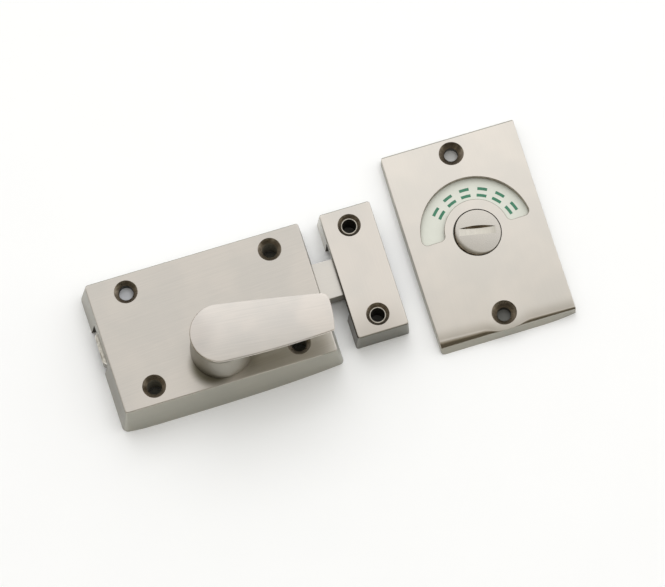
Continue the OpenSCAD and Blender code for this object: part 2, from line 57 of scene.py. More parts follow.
# How far a tool reaches past what it cuts, how near two points are one, and which edges are sharp
PAST = 1.0
WELD = 1e-5
SHARP_DEG = 30.0
# Parts of a full turn, from the slot's wheel down to small bores and papers
WHEEL_ROUND, FINE_ROUND, ROUND, BORE_ROUND, BOSS_ROUND, SMALL_ROUND = 256, 128, 96, 64, 48, 32
# Parts of a rounded corner, of a rounded edge and of a straight side that bends
CORNER_STEPS, EDGE_STEPS, SIDE_STEPS = 6, 5, 16
# Limits on a face's normal: along Z for level, steep and upright faces, along Y for the far side
LEVEL, STEEP, UPRIGHT = 0.9, 0.5, 0.3
FAR_TURN = 0.4
# Numbers of the mix node's sockets for colours
MIX_FIRST, MIX_SECOND, MIX_RESULT = 6, 7, 2
# Details, ranges and tints that the finishes and the sky share
SOFT_DETAIL, FINE_DETAIL, SPECK_DETAIL, NOISE_ROUGHNESS = 2.0, 4.0, 5.0, 0.6
WHOLE, FALLING, BAND, NARROW_BAND = (0.0, 1.0), (1.0, 0.0), (0.3, 0.7), (0.35, 0.65)
BROAD_SHARE = 0.35
CLOUD_GRAIN = (55.0, 55.0, 55.0)
PALE_TINT, DULL_TINT = (1.0, 0.8, 0.6), (1.0, 0.8, 0.7)
WHITE = (1.0, 1.0, 1.0)

Colour = tuple[float, float, float]
Three = tuple[float, float, float]
Four = tuple[float, float, float, float]
Flat = tuple[float, float]
Ring = list[Vector]
Socket = bpy.types.NodeSocket


class Body(str, Enum):
    """The CAD bodies that a piece can ride on."""

    FIXED = "fixed_set"
    TURN = "turn_body"
    BOLT = "bolt_body"
    RELEASE = "release_body"


class Slot(str, Enum):
    """The record's material slots, which are passed when a piece is dressed."""

    NICKEL = "satin_nickel"
    DISC = "printed_disc"


class Cut(str, Enum):
    """What a tool does with the shape that it meets."""

    AWAY = "DIFFERENCE"
    ONTO = "UNION"
    WITHIN = "INTERSECT"


@dataclass(frozen=True)
class Box:
    """Corners of a CAD node at rest, in millimetres."""

    lo: Vector
    hi: Vector

    @classmethod
    def of(cls, node: str) -> "Box":
        """Reads a CAD node's corners from the frame."""
        lo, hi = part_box(node)
        return cls(lo / MM, hi / MM)

    @property
    def middle(self) -> Vector:
        """Returns: The middle of the box."""
        return (self.lo + self.hi) / 2

    @property
    def size(self) -> Vector:
        """Returns: The lengths of the box's sides."""
        return self.hi - self.lo

    @property
    def axis(self) -> Flat:
        """Returns: The middle of the box in plan."""
        return (self.middle.x, self.middle.y)


def scaled(colour: Colour, factor: float) -> Colour:
    """Makes a colour lighter or darker by a factor."""
    return (colour[0] * factor, colour[1] * factor, colour[2] * factor)


class Graph:
    """A short way to write a node tree."""

    def __init__(self, tree: bpy.types.NodeTree) -> None:
        """Takes over a tree and empties it."""
        self.tree = tree
        self.tree.nodes.clear()

    def add(self, kind: str, sockets: dict[str | int, Any] | None = None, **settings: Any) -> bpy.types.Node:
        """Adds a node and joins or sets its inputs.

        Args:
            kind: Blender's name for the node type.
            sockets: Input names or numbers, each with a value or with the output that feeds it.
            **settings: The node's own properties.

        Returns:
            The new node.
        """
        node = self.tree.nodes.new(kind)
        for name, value in settings.items():
            setattr(node, name, value)
        for name, value in (sockets or {}).items():
            if isinstance(value, Socket):
                self.tree.links.new(value, node.inputs[name])
            else:
                node.inputs[name].default_value = value
        return node

    def coordinates(self, kind: str = "Object") -> Socket:
        """Reads one kind of texture coordinates."""
        return self.add("ShaderNodeTexCoord").outputs[kind]

    def numbers(self, first: Any, second: Any, operation: str = "ADD") -> Socket:
        """Joins two numbers or outputs with a math node."""
        return self.add("ShaderNodeMath", {0: first, 1: second}, operation=operation).outputs[0]

    def vectors(self, first: Any, second: Any, operation: str, output: str = "Value") -> Socket:
        """Joins two vectors or outputs with a vector math node."""
        return self.add("ShaderNodeVectorMath", {0: first, 1: second}, operation=operation).outputs[output]

    def between(self, share: Any, first: Any, second: Any) -> Socket:
        """Goes from the first value at a share of 0 to the second at 1."""
        return self.numbers(first, self.numbers(share, self.numbers(second, first, "SUBTRACT"), "MULTIPLY"))

    def span(self, value: Any, source: Flat, target: Flat = WHOLE, smooth: bool = False) -> Socket:
        """Maps one range of values to another.

        Args:
            value: The output to map.
            source: Ends of the range that comes in.
            target: Ends of the range that goes out.
            smooth: Whether the change eases in and out.

        Returns:
            The mapped output.
        """
        sockets = dict(enumerate((value, *source, *target)))
        kind = "SMOOTHSTEP" if smooth else "LINEAR"
        return self.add("ShaderNodeMapRange", sockets, interpolation_type=kind).outputs[0]

    def around(self, value: Any, source: Flat, middle: float, spread: float) -> Socket:
        """Maps a range of values to one that spreads to both sides of a middle value."""
        return self.span(value, source, (middle - spread, middle + spread))

    def blend(self, share: Any, first: Any, second: Any, how: str = "MIX") -> Socket:
        """Blends two colours.

        Args:
            share: How much of the second colour shows.
            first: A colour or an output.
            second: A colour or an output.
            how: The mix node's way to blend.

        Returns:
            The blended colour's output.
        """
        ends = [(*c, 1.0) if isinstance(c, tuple) else c for c in (first, second)]
        sockets = {0: share, MIX_FIRST: ends[0], MIX_SECOND: ends[1]}
        return self.add("ShaderNodeMix", sockets, data_type="RGBA", blend_type=how).outputs[MIX_RESULT]

    def varied(self, share: Any, tone: Colour, change: float) -> Socket:
        """Goes from a darker tone of a colour to a lighter one."""
        return self.blend(share, scaled(tone, 1 - change), scaled(tone, 1 + change))

    def tinted(self, colour: Socket, tint: Socket) -> Socket:
        """Multiplies a colour by a tint."""
        return self.blend(1.0, colour, tint, "MULTIPLY")

    def bump(self, height: Socket, distance: float, strength: float) -> Socket:
        """Makes the normal of a surface with a fine relief."""
        sockets = {"Strength": strength, "Distance": distance, "Height": height}
        return self.add("ShaderNodeBump", sockets).outputs[0]

    def noise(self, place: Any, grain: Sequence[float], detail: float, turn: float = 0.0) -> Socket:
        """Adds a noise texture with its own grain along each axis.

        Args:
            place: The coordinates' output.
            grain: Changes per metre along the turned axes.
            detail: Detail of the noise.
            turn: Angle of the grain's first axis in plan, in radians.

        Returns:
            The noise's value.
        """
        spin = {"Vector": place, "Angle": -turn}
        turned = self.add("ShaderNodeVectorRotate", spin, rotation_type="Z_AXIS")
        stretched = self.vectors(turned.outputs[0], tuple(grain), "MULTIPLY", "Vector")
        sockets = {"Vector": stretched, "Scale": 1.0, "Detail": detail, "Roughness": NOISE_ROUGHNESS}
        return self.add("ShaderNodeTexNoise", sockets).outputs[0]


@dataclass(frozen=True)
class Finish:
    """A finish, whose material is made once."""

    name: str

    def material(self) -> bpy.types.Material:
        """Finds or makes the material.

        Returns:
            The material.
        """
        found = bpy.data.materials.get(self.name)
        if found is not None:
            return found
        made = bpy.data.materials.new(self.name)
        made.use_nodes = True
        graph = Graph(made.node_tree)
        shader = graph.add("ShaderNodeBsdfPrincipled", self.sockets(graph))
        graph.add("ShaderNodeOutputMaterial", {"Surface": shader.outputs[0]})
        return made

    def sockets(self, graph: Graph) -> dict[str, Any]:
        """Makes what goes into the shader's sockets, which each kind of finish does in its own way."""
        raise NotImplementedError(self.name)


@dataclass(frozen=True)
class BrushedMetal(Finish):
    """Satin metal with fine lines from brushing."""

    tone: Colour = (0.66, 0.622, 0.572)
    grain: Three = (70.0, 2600.0, 2600.0)
    turn_deg: float = 0.0
    streak: float = 0.04
    broad: float = 0.25
    cloud: float = 0.03
    roughness: float = 0.34
    spread: float = 0.05
    anisotropy: float = 0.4
    groove: float = 1.5e-6
    groove_strength: float = 0.5

    def sockets(self, graph: Graph) -> dict[str, Any]:
        """Makes what goes into the shader's sockets.

        Args:
            graph: The material's tree.

        Returns:
            The sockets' names, each with a value or with the output that feeds it.
        """
        turn = math.radians(self.turn_deg)
        place = graph.coordinates()
        fine = graph.noise(place, self.grain, FINE_DETAIL, turn)
        broad = graph.noise(place, [g * BROAD_SHARE for g in self.grain], SOFT_DETAIL, turn)
        cloud = graph.noise(place, CLOUD_GRAIN, SOFT_DETAIL)
        lines = graph.span(graph.between(self.broad, fine, broad), BAND)
        metal = graph.varied(lines, self.tone, self.streak)
        pale = tuple(1 + self.cloud * t for t in PALE_TINT)
        dull = tuple(1 - self.cloud * t for t in DULL_TINT)
        tint = graph.blend(graph.span(cloud, NARROW_BAND, smooth=True), dull, pale)
        across = (-math.sin(turn), math.cos(turn), 0.0)
        spaces = {"vector_type": "VECTOR", "convert_from": "OBJECT", "convert_to": "WORLD"}
        return {
            "Base Color": self.painted_shade(graph, place, graph.tinted(metal, tint)),
            "Metallic": 1.0,
            "Roughness": graph.around(lines, WHOLE, self.roughness, self.spread),
            "Anisotropic": self.anisotropy,
            "Tangent": graph.add("ShaderNodeVectorTransform", {0: across}, **spaces).outputs[0],
            "Normal": graph.bump(lines, self.groove, self.groove_strength),
        }

    def painted_shade(self, graph: Graph, place: Socket, colour: Socket) -> Socket:
        """Leaves the colour as it is, since plain metal has no painted shade."""
        return colour


@dataclass(frozen=True)
class PaintedShadeMetal(BrushedMetal):
    """Brushed metal with painted shade round one place, darker the nearer it is."""

    middle: Three = (0.0, 0.0, 0.0)
    reach: Flat = (0.01, 0.013)
    shade_tone: Colour = (0.3, 0.28, 0.24)

    def painted_shade(self, graph: Graph, place: Socket, colour: Socket) -> Socket:
        """Darkens the colour with painted shade within its reach."""
        unshaded = graph.span(graph.vectors(place, self.middle, "DISTANCE"), self.reach, smooth=True)
        return graph.tinted(colour, graph.blend(unshaded, self.shade_tone, WHITE))


@dataclass(frozen=True)
class RolledMetal(BrushedMetal):
    """Brushed metal with painted shade where it rolls down to the near end."""

    slope: Flat = (-0.25, -0.6)
    roll_shade: Colour = (0.68, 0.62, 0.52)

    def painted_shade(self, graph: Graph, place: Socket, colour: Socket) -> Socket:
        """Darkens the colour on the roll with painted shade, more the further a face turns to the near side.
        """
        lean = graph.add("ShaderNodeSeparateXYZ", {0: graph.coordinates("Normal")}).outputs["Y"]
        return graph.tinted(colour, graph.blend(graph.span(lean, self.slope), WHITE, self.roll_shade))


@dataclass(frozen=True)
class MottledMetal(Finish):
    """Plain metal with small changes of tone and gloss."""

    tone: Colour = (0.5, 0.5, 0.5)
    second: Colour = (0.45, 0.45, 0.45)
    grain: float = 700.0
    roughness: float = 0.4
    metallic: float = 1.0
    spread: float = 0.08
    pit: float = 4.0e-6
    pit_strength: float = 0.3

    def sockets(self, graph: Graph) -> dict[str, Any]:
        """Makes what goes into the shader's sockets.

        Args:
            graph: The material's tree.

        Returns:
            The sockets' names, each with a value or with the output that feeds it.
        """
        speck = graph.noise(graph.coordinates(), (self.grain,) * 3, SPECK_DETAIL)
        return {
            "Base Color": graph.blend(graph.span(speck, NARROW_BAND, smooth=True), self.tone, self.second),
            "Metallic": self.metallic,
            "Roughness": graph.around(speck, BAND, self.roughness, self.spread),
            "Normal": graph.bump(speck, self.pit, self.pit_strength),
        }


@dataclass(frozen=True)
class Matt(Finish):
    """Matt card, ink, fibre or paper with a faint grain."""

    tone: Colour = (0.8, 0.8, 0.8)
    change: float = 0.04
    grain: float = 500.0
    roughness: float = 0.6
    spread: float = 0.06

    def sockets(self, graph: Graph) -> dict[str, Any]:
        """Makes what goes into the shader's sockets.

        Args:
            graph: The material's tree.

        Returns:
            The sockets' names, each with a value or with the output that feeds it.
        """
        speck = graph.noise(graph.coordinates(), (self.grain,) * 3, FINE_DETAIL)
        return {
            "Base Color": graph.varied(graph.span(speck, BAND), self.tone, self.change),
            "Roughness": graph.around(speck, BAND, self.roughness, self.spread),
        }


@dataclass(frozen=True)
class HoleShadePaper(Matt):
    """Paper that lies under the screw holes as painted shade, or stands in one as painted light."""

    change: float = 0.1
    grain: float = 400.0
    roughness: float = 0.9


# The case's top has painted shade: the shadow of the hub and paddle, round the hub's foot towards the near
# left.
CASE_NICKEL = PaintedShadeMetal(
    "case_nickel",
    (0.665, 0.625, 0.575),
    turn_deg=3.0,
    streak=0.05,
    middle=(-0.0044, -0.0149, 0.0135),
    reach=(0.0052, 0.0088),
    shade_tone=(0.26, 0.25, 0.2),
)
# Painted shade: the left end is a darker copy of the case's nickel, darker again towards its near top.
LEFT_NICKEL = PaintedShadeMetal(
    "left_nickel",
    (0.385, 0.375, 0.335),
    roughness=0.42,
    streak=0.05,
    middle=(-0.036, -0.014, 0.0135),
    reach=(0.006, 0.018),
    shade_tone=(0.72, 0.71, 0.7),
)
# Painted shade: a darker copy of the nickel for the steep sides and far-turned edges of the case and keep.
SIDE_NICKEL = BrushedMetal("side_nickel", (0.41, 0.4, 0.35), roughness=0.42, streak=0.05)
# The paddle's top has a little painted shade at the left of its round end.
LEVER_NICKEL = PaintedShadeMetal(
    "lever_nickel",
    (0.755, 0.71, 0.665),
    turn_deg=-5.8,
    cloud=0.055,
    streak=0.06,
    middle=(-0.0105, -0.0085, 0.0335),
    reach=(0.004, 0.012),
    shade_tone=(0.85, 0.85, 0.855),
)
# Painted shade: a dark copy of the paddle's nickel for its underside and left end, which the case's top
# mirrors dark.
UNDER_NICKEL = BrushedMetal("under_nickel", (0.33, 0.315, 0.22), roughness=0.45, turn_deg=-5.8)
# Painted shade: the hub is a darker copy of the nickel.
HUB_NICKEL = BrushedMetal(
    "hub_nickel", (0.4, 0.38, 0.33), (60.0, 60.0, 2400.0), roughness=0.42, anisotropy=0.2
)
BOLT_NICKEL = BrushedMetal("bolt_nickel", (0.69, 0.665, 0.625), cloud=0.07)
# Painted shade: the bolt's sides are a dark copy of its nickel.
BOLT_SIDE = BrushedMetal("bolt_side", (0.3, 0.28, 0.24), roughness=0.42, cloud=0.12)
# Painted light: the tail's top is lighter than the bar, to make up for the shade in the case's notch; its
# mottling is the rough metal's own.
BOLT_TAIL = MottledMetal("bolt_tail", (0.82, 0.79, 0.72), (0.6, 0.57, 0.51), roughness=0.45)
BOLT_EDGE = MottledMetal("bolt_edge", (0.85, 0.82, 0.76), (0.4, 0.38, 0.33), 450.0, roughness=0.35)
# Painted shade: the tail's end face is darker.
BOLT_END = MottledMetal("bolt_end", (0.4, 0.38, 0.34), (0.28, 0.265, 0.235), roughness=0.45)
# The keep's top has painted shade towards its near end.
KEEP_NICKEL = PaintedShadeMetal(
    "keep_nickel",
    (0.735, 0.69, 0.635),
    turn_deg=90.0,
    streak=0.025,
    middle=(0.05, -0.024, 0.0111),
    reach=(0.0, 0.019),
    shade_tone=(0.72, 0.71, 0.695),
)
# Painted shade: the keep's near face is a dark copy of its nickel.
KEEP_FRONT = BrushedMetal("keep_front", (0.22, 0.215, 0.19), roughness=0.42, streak=0.05)
# Painted shade: the keep's left face is dark round the tunnel where the bolt goes in.
KEEP_SIDE = PaintedShadeMetal(
    "keep_side",
    (0.66, 0.645, 0.6),
    roughness=0.42,
    middle=(0.0436, -0.014, 0.006),
    reach=(0.017, 0.027),
    shade_tone=(0.17, 0.155, 0.135),
)
KEEP_SEAT = MottledMetal("keep_seat", (0.52, 0.485, 0.42), (0.42, 0.39, 0.335), roughness=0.3)
PLATE_NICKEL = RolledMetal(
    "plate_nickel",
    (0.74, 0.695, 0.635),
    turn_deg=90.0,
    streak=0.015,
    spread=0.02,
    roughness=0.32,
    groove=4e-7,
)
# Painted shade: a darker copy of the plate's nickel for its edges and far roll.
PLATE_END = BrushedMetal("plate_end", (0.42, 0.405, 0.355), roughness=0.42, streak=0.04)
RELEASE_NICKEL = BrushedMetal(
    "release_nickel", (0.61, 0.575, 0.525), turn_deg=-10.0, streak=0.03, roughness=0.27, anisotropy=0.2
)
SLOT_NICKEL = BrushedMetal(
    "slot_nickel",
    (0.68, 0.645, 0.575),
    (480.0, 70.0, 70.0),
    turn_deg=-12.0,
    streak=0.12,
    broad=0.0,
    roughness=0.26,
    anisotropy=0.2,
)
SINK_PATINA = MottledMetal("sink_patina", (0.47, 0.41, 0.33), (0.27, 0.23, 0.18), roughness=0.32)
RIM_PATINA = MottledMetal("rim_patina", (0.3, 0.265, 0.21), (0.22, 0.19, 0.15), roughness=0.45)
BORE_PATINA = MottledMetal(
    "bore_patina", (0.36, 0.34, 0.285), (0.28, 0.265, 0.22), roughness=0.6, metallic=0.2
)
# Painted shade: the keep's, the plate's and one of the case's bores are near black, where little light gets
# in.
BORE_DARK = MottledMetal(
    "bore_dark", (0.09, 0.085, 0.07), (0.06, 0.056, 0.045), roughness=0.6, metallic=0.3
)
INSIDE_CAST = MottledMetal("inside_cast", (0.12, 0.11, 0.09), (0.08, 0.07, 0.055), roughness=0.55)
BARE_BRASS = MottledMetal("bare_brass_turned", (0.72, 0.55, 0.28), (0.62, 0.46, 0.22), roughness=0.32)
# Painted shade: the back plate's zinc is dark under the bolt's tail, where it shows through the notch.
SHADED_ZINC = PaintedShadeMetal(
    "shaded_zinc",
    (0.56, 0.57, 0.585),
    middle=(-0.038, 0.0023, 0.001),
    reach=(0.009, 0.012),
    shade_tone=(0.06, 0.055, 0.05),
)
ZINC_PLATE = MottledMetal("zinc_plate", (0.6, 0.61, 0.62), (0.5, 0.51, 0.53), roughness=0.38)
BLUED_STEEL = MottledMetal("blued_steel", (0.16, 0.17, 0.2), (0.1, 0.11, 0.14), roughness=0.3)
DARK_FIBRE = Matt("dark_fibre", (0.05, 0.04, 0.035), 0.25, 900.0, 0.75)
DISC_CARD = Matt("disc_card", (0.7, 0.715, 0.645), 0.02, 300.0, 0.45)
GREEN_INK = Matt("green_ink", (0.045, 0.2, 0.115), 0.12, 900.0, 0.5)
RED_INK = Matt("red_ink", (0.42, 0.03, 0.025), 0.12, 900.0, 0.5)
FLOOR_PAPER = Matt("floor_paper", (0.95, 0.955, 0.96), 0.004, 40.0, 0.9)
# Painted shade: papers under the screw holes, darker than the floor; the rolled one stands in the case's far
# left hole as painted light.
DARK_SHADE_PAPER = HoleShadePaper("dark_shade_paper", (0.1, 0.096, 0.085))
GREY_SHADE_PAPER = HoleShadePaper("grey_shade_paper", (0.14, 0.14, 0.13))
OLIVE_SHADE_PAPER = HoleShadePaper("olive_shade_paper", (0.16, 0.155, 0.13))
LIT_ROLL_PAPER = HoleShadePaper("lit_roll_paper", (0.48, 0.49, 0.51))
PALE_SHADE_PAPER = HoleShadePaper("pale_shade_paper", (0.5, 0.5, 0.49))


def arc(middle: Flat, radius: float, start: float, end: float, steps: int) -> list[Flat]:
    """Makes the points of an arc between two angles in degrees, both ends included."""
    angles = [math.radians(start + (end - start) * i / steps) for i in range(steps + 1)]
    return [(middle[0] + radius * math.cos(a), middle[1] + radius * math.sin(a)) for a in angles]


def shifted(outline: Sequence[Flat], by: Flat) -> list[Flat]:
    """Moves an outline in plan."""
    return [(by[0] + x, by[1] + y) for x, y in outline]


def raised(outline: Sequence[Flat], *heights: float) -> list[Ring]:
    """Lays an outline level at each of some heights."""
    return [[Vector((x, y, z)) for x, y in outline] for z in heights]


def fill_side(points: list[Flat], at: int) -> None:
    """Puts points along one straight side of an outline, in place.

    Args:
        points: The outline, which gets the new points.
        at: Number of the point at which the side ends.
    """
    (x0, y0), (x1, y1) = points[at - 1], points[at % len(points)]
    points[at:at] = [
        (x0 + (x1 - x0) * i / SIDE_STEPS, y0 + (y1 - y0) * i / SIDE_STEPS) for i in range(1, SIDE_STEPS)
    ]


def rounded_rectangle(half: Flat, radii: Sequence[float], steps: int = CORNER_STEPS) -> list[Flat]:
    """Makes a rectangle about the origin with rounded corners.

    Args:
        half: Half its length and half its width.
        radii: Radius of each corner, from the one at +X +Y anticlockwise.
        steps: How many parts each corner has.

    Returns:
        The outline, anticlockwise.
    """
    signs = [(1, 1), (-1, 1), (-1, -1), (1, -1)]
    points: list[Flat] = []
    for i, (sx, sy) in enumerate(signs):
        middle = (sx * (half[0] - radii[i]), sy * (half[1] - radii[i]))
        points += arc(middle, radii[i], 90 * i, 90 * i + 90, steps)
    return points


def inset(outline: Sequence[Flat], amount: float) -> list[Flat]:
    """Moves an anticlockwise outline inwards.

    Args:
        outline: The outline.
        amount: How far each side moves.

    Returns:
        The smaller outline, with as many points.
    """
    moved: list[Flat] = []
    sharpest = 0.3
    for i, point in enumerate(outline):
        before = Vector(point) - Vector(outline[i - 1])
        after = Vector(outline[(i + 1) % len(outline)]) - Vector(point)
        sides = [Vector((-d.y, d.x)).normalized() for d in (before, after)]
        middle = (sides[0] + sides[1]).normalized()
        reach = amount / max(sharpest, middle.dot(sides[0]))
        moved.append((point[0] + middle.x * reach, point[1] + middle.y * reach))
    return moved


def edge_profile(height: float, lean: float, radius: float) -> list[Flat]:
    """Makes the profile of a leaning side that rounds over into a flat top.

    Args:
        height: Height of the top.
        lean: How far the side leans in over that height.
        radius: Radius of the rounded edge.

    Returns:
        Pairs of the way out from the foot and the height, from the foot upwards.
    """
    tilt = math.degrees(math.atan2(lean, height))
    tangent_z = height - radius * (1 - math.sin(math.radians(tilt)))
    middle_out = -lean * tangent_z / height - radius * math.cos(math.radians(tilt))
    return [(0.0, 0.0), *arc((middle_out, height - radius), radius, tilt, 90.0, EDGE_STEPS)]


def bevel_profile(height: float, lean_deg: float, bevel_deg: float, bevel: float, radii: Flat) -> list[Flat]:
    """Makes the profile of a leaning side that turns into a flat top through a soft bevel.

    Args:
        height: Height of the top.
        lean_deg: How far the side leans in.
        bevel_deg: Angle of the bevel's outward direction above the level.
        bevel: Width of the bevel's flat.
        radii: Radii of its lower and upper soft edges.

    Returns:
        Pairs of the way out from the foot and the height, from the foot upwards.
    """
    steps = 6
    parts: list[Flat] = []
    for radius, start, end in ((radii[0], lean_deg, bevel_deg), (radii[1], bevel_deg, 90.0)):
        turn = (end - start) / steps
        parts += [(start + turn * (i + 0.5), radius * math.radians(turn)) for i in range(steps)]
        if end == bevel_deg:
            parts.append((bevel_deg, bevel))
    rise = sum(length * math.cos(math.radians(angle)) for angle, length in parts)
    foot = (height - rise) / math.cos(math.radians(lean_deg))
    points: list[Flat] = [(0.0, 0.0)]
    for angle, length in [(lean_deg, foot), *parts]:
        out, z = points[-1]
        tilt = math.radians(angle)
        points.append((out - length * math.sin(tilt), z + length * math.cos(tilt)))
    return points


def add_loft(maker: bmesh.types.BMesh, rings: Sequence[Ring]) -> None:
    """Joins closed rings of as many points each, and closes both ends.

    Args:
        maker: The mesh that they go into.
        rings: The rings, in order.
    """
    rows = [[maker.verts.new(p) for p in ring] for ring in rings]
    count = len(rows[0])
    for low, high in zip(rows, rows[1:]):
        for i in range(count):
            j = (i + 1) % count
            maker.faces.new((low[i], low[j], high[j], high[i]))
    maker.faces.new(rows[0])
    maker.faces.new(rows[-1])


class Shape:
    """A closed mesh in millimetres, which tools can cut and others can join."""

    def __init__(self, maker: bmesh.types.BMesh, finish: Finish) -> None:
        """Puts a finished bmesh into the scene.

        Args:
            maker: The closed mesh, which is freed.
            finish: The finish of all its faces.
        """
        bmesh.ops.remove_doubles(maker, verts=maker.verts, dist=WELD)
        bmesh.ops.recalc_face_normals(maker, faces=maker.faces)
        mesh = bpy.data.meshes.new("shape")
        maker.to_mesh(mesh)
        maker.free()
        mesh.materials.append(finish.material())
        self.obj = bpy.data.objects.new("shape", mesh)
        bpy.context.scene.collection.objects.link(self.obj)

    @classmethod
    def loft(cls, rings: Sequence[Ring], finish: Finish) -> "Shape":
        """Joins closed rings into a shape of its own.

        Args:
            rings: The rings, in order.
            finish: The finish.

        Returns:
            The shape.
        """
        maker = bmesh.new()
        add_loft(maker, rings)
        return cls(maker, finish)

    @classmethod
    def prism(cls, outline: Sequence[Flat], low: float, high: float, finish: Finish) -> "Shape":
        """Raises a flat outline from one height to another."""
        return cls.loft(raised(outline, low, high), finish)

    @classmethod
    def block(cls, low: Vector, high: Vector, finish: Finish) -> "Shape":
        """Makes a square block between two corners."""
        outline = [(low.x, low.y), (high.x, low.y), (high.x, high.y), (low.x, high.y)]
        return cls.prism(outline, low.z, high.z, finish)

    @classmethod
    def pocket(cls, middle: Flat, half: Flat, top: float, finish: Finish) -> "Shape":
        """Makes the tool for a square pocket that is open at the floor.

        Args:
            middle: Place of its middle in plan.
            half: Half its length and half its width.
            top: Height of its roof.
            finish: The finish that it leaves.

        Returns:
            The tool.
        """
        low = Vector((middle[0] - half[0], middle[1] - half[1], -PAST))
        high = Vector((middle[0] + half[0], middle[1] + half[1], top))
        return cls.block(low, high, finish)

    @classmethod
    def turned(cls, profiles: Sequence[Sequence[Flat]], axis: Flat, finish: Finish) -> "Shape":
        """Makes a round shape about an upright axis.

        Args:
            profiles: One profile for each part of the turn, of pairs of radius and height from end to end.
            axis: Place of the axis in plan.
            finish: The finish.

        Returns:
            The shape.
        """
        turns = [2 * math.pi * i / len(profiles) for i in range(len(profiles))]
        ways = [(math.cos(a), math.sin(a)) for a in turns]
        rings = [
            [Vector((axis[0] + r * x, axis[1] + r * y, z)) for (x, y), (r, z) in zip(ways, level)]
            for level in zip(*profiles)
        ]
        return cls.loft(rings, finish)

    @classmethod
    def drum(cls, radius: float, ends: Flat, axis: Flat, finish: Finish, steps: int = ROUND) -> "Shape":
        """Makes an upright drum between two heights, such as the tool for a bore."""
        return cls.turned([[(radius, z) for z in ends]] * steps, axis, finish)

    def moved(self, matrix: Matrix) -> "Shape":
        """Moves the mesh, in millimetres."""
        self.obj.data.transform(matrix)
        return self

    def turned_by(self, degrees: float, axis: str) -> "Shape":
        """Turns the mesh about one of the main axes."""
        return self.moved(Matrix.Rotation(math.radians(degrees), 4, axis))

    def meet(self, how: Cut, *tools: "Shape") -> "Shape":
        """Cuts tools away from the shape, joins them onto it, or keeps what lies in them. They are used up.

        Args:
            how: What the tools do.
            *tools: The tools, whose finishes go onto the faces that they make.

        Returns:
            The same shape.
        """
        for tool in tools:
            modifier = self.obj.modifiers.new("meet", "BOOLEAN")
            modifier.operation = how.value
            modifier.solver = "EXACT"
            modifier.material_mode = "TRANSFER"
            modifier.object = tool.obj
            seen = self.obj.evaluated_get(bpy.context.evaluated_depsgraph_get())
            old, self.obj.data = self.obj.data, bpy.data.meshes.new_from_object(seen)
            self.obj.modifiers.clear()
            bpy.data.meshes.remove(old)
            bpy.data.meshes.remove(tool.obj.data)
        return self

    def paint(self, finish: Finish, chosen: Callable[[Vector], bool]) -> "Shape":
        """Gives some of the faces a finish of their own.

        Args:
            finish: The finish.
            chosen: Says from a face's normal whether it gets the finish.

        Returns:
            The same shape.
        """
        mesh = self.obj.data
        mesh.materials.append(finish.material())
        for face in mesh.polygons:
            if chosen(face.normal):
                face.material_index = len(mesh.materials) - 1
        return self

    def dress(self, name: str, body: Body, slot: Slot, *nodes: str) -> None:
        """Turns the shape into a piece of the scene.

        Args:
            name: The piece's name.
            body: The body that it rides on.
            slot: The record's slot for its finish; not used.
            *nodes: The CAD nodes that it stands for.
        """
        obj = self.obj
        obj.name = obj.data.name = name
        obj.data.transform(Matrix.Scale(MM, 4))
        obj.data.shade_smooth()
        obj.data.set_sharp_from_angle(angle=math.radians(SHARP_DEG))
        obj.modifiers.new("normals", "WEIGHTED_NORMAL").keep_sharp = True
        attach(obj, body.value)
        if nodes:
            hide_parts(*nodes)
        LOG.info("%s: %d faces", name, len(obj.data.polygons))


def leaning_block(
    box: Box,
    leans: Four,
    edge: float,
    foot_radii: Four,
    top_radii: Four,
    finish: Finish,
    skew: float = 0.0,
    foot_move: Callable[[float, float], Flat] = lambda x, y: (0.0, 0.0),
) -> Shape:
    """Makes a block whose sides lean in and whose top edges are rounded.

    Args:
        box: Its box.
        leans: How far the sides at +X, +Y, -X and -Y lean in.
        edge: Radius of the top edges.
        foot_radii: Radii of the corners at the foot, from +X +Y anticlockwise.
        top_radii: Radii of the corners at the top.
        finish: The finish.
        skew: How much longer the far side is than the near one, at -X.
        foot_move: Says how far a place on the foot moves; the move fades out up to the top.

    Returns:
        The shape.
    """
    rings: list[Ring] = []
    near_side = 3 * (CORNER_STEPS + 1)
    for sides in zip(*(edge_profile(box.size.z, lean, edge) for lean in leans)):
        right, far, left, near = [out for out, _ in sides]
        z = sum(height for _, height in sides) / len(sides)
        share = z / box.size.z
        radii = [a + (b - a) * share for a, b in zip(foot_radii, top_radii)]
        half = ((box.size.x + right + left) / 2, (box.size.y + far + near) / 2)
        middle = box.middle + Vector(((right - left) / 2, (far - near) / 2, 0))
        outline = rounded_rectangle(half, radii)
        fill_side(outline, near_side)
        ring: Ring = []
        for x, y in outline:
            pull = skew * (y / half[1] + 1) / 2 if x < 0 else 0.0
            dx, dy = foot_move(x, y)
            place = Vector((x - pull + dx * (1 - share), y + dy * (1 - share), z))
            ring.append(Vector((middle.x, middle.y, box.lo.z)) + place)
        rings.append(ring)
    shape = Shape.loft(rings, finish)
    # Steep sides and far-turned edges get the side nickel's painted shade.
    return shape.paint(SIDE_NICKEL, lambda normal: abs(normal.z) < STEEP or normal.y > FAR_TURN)


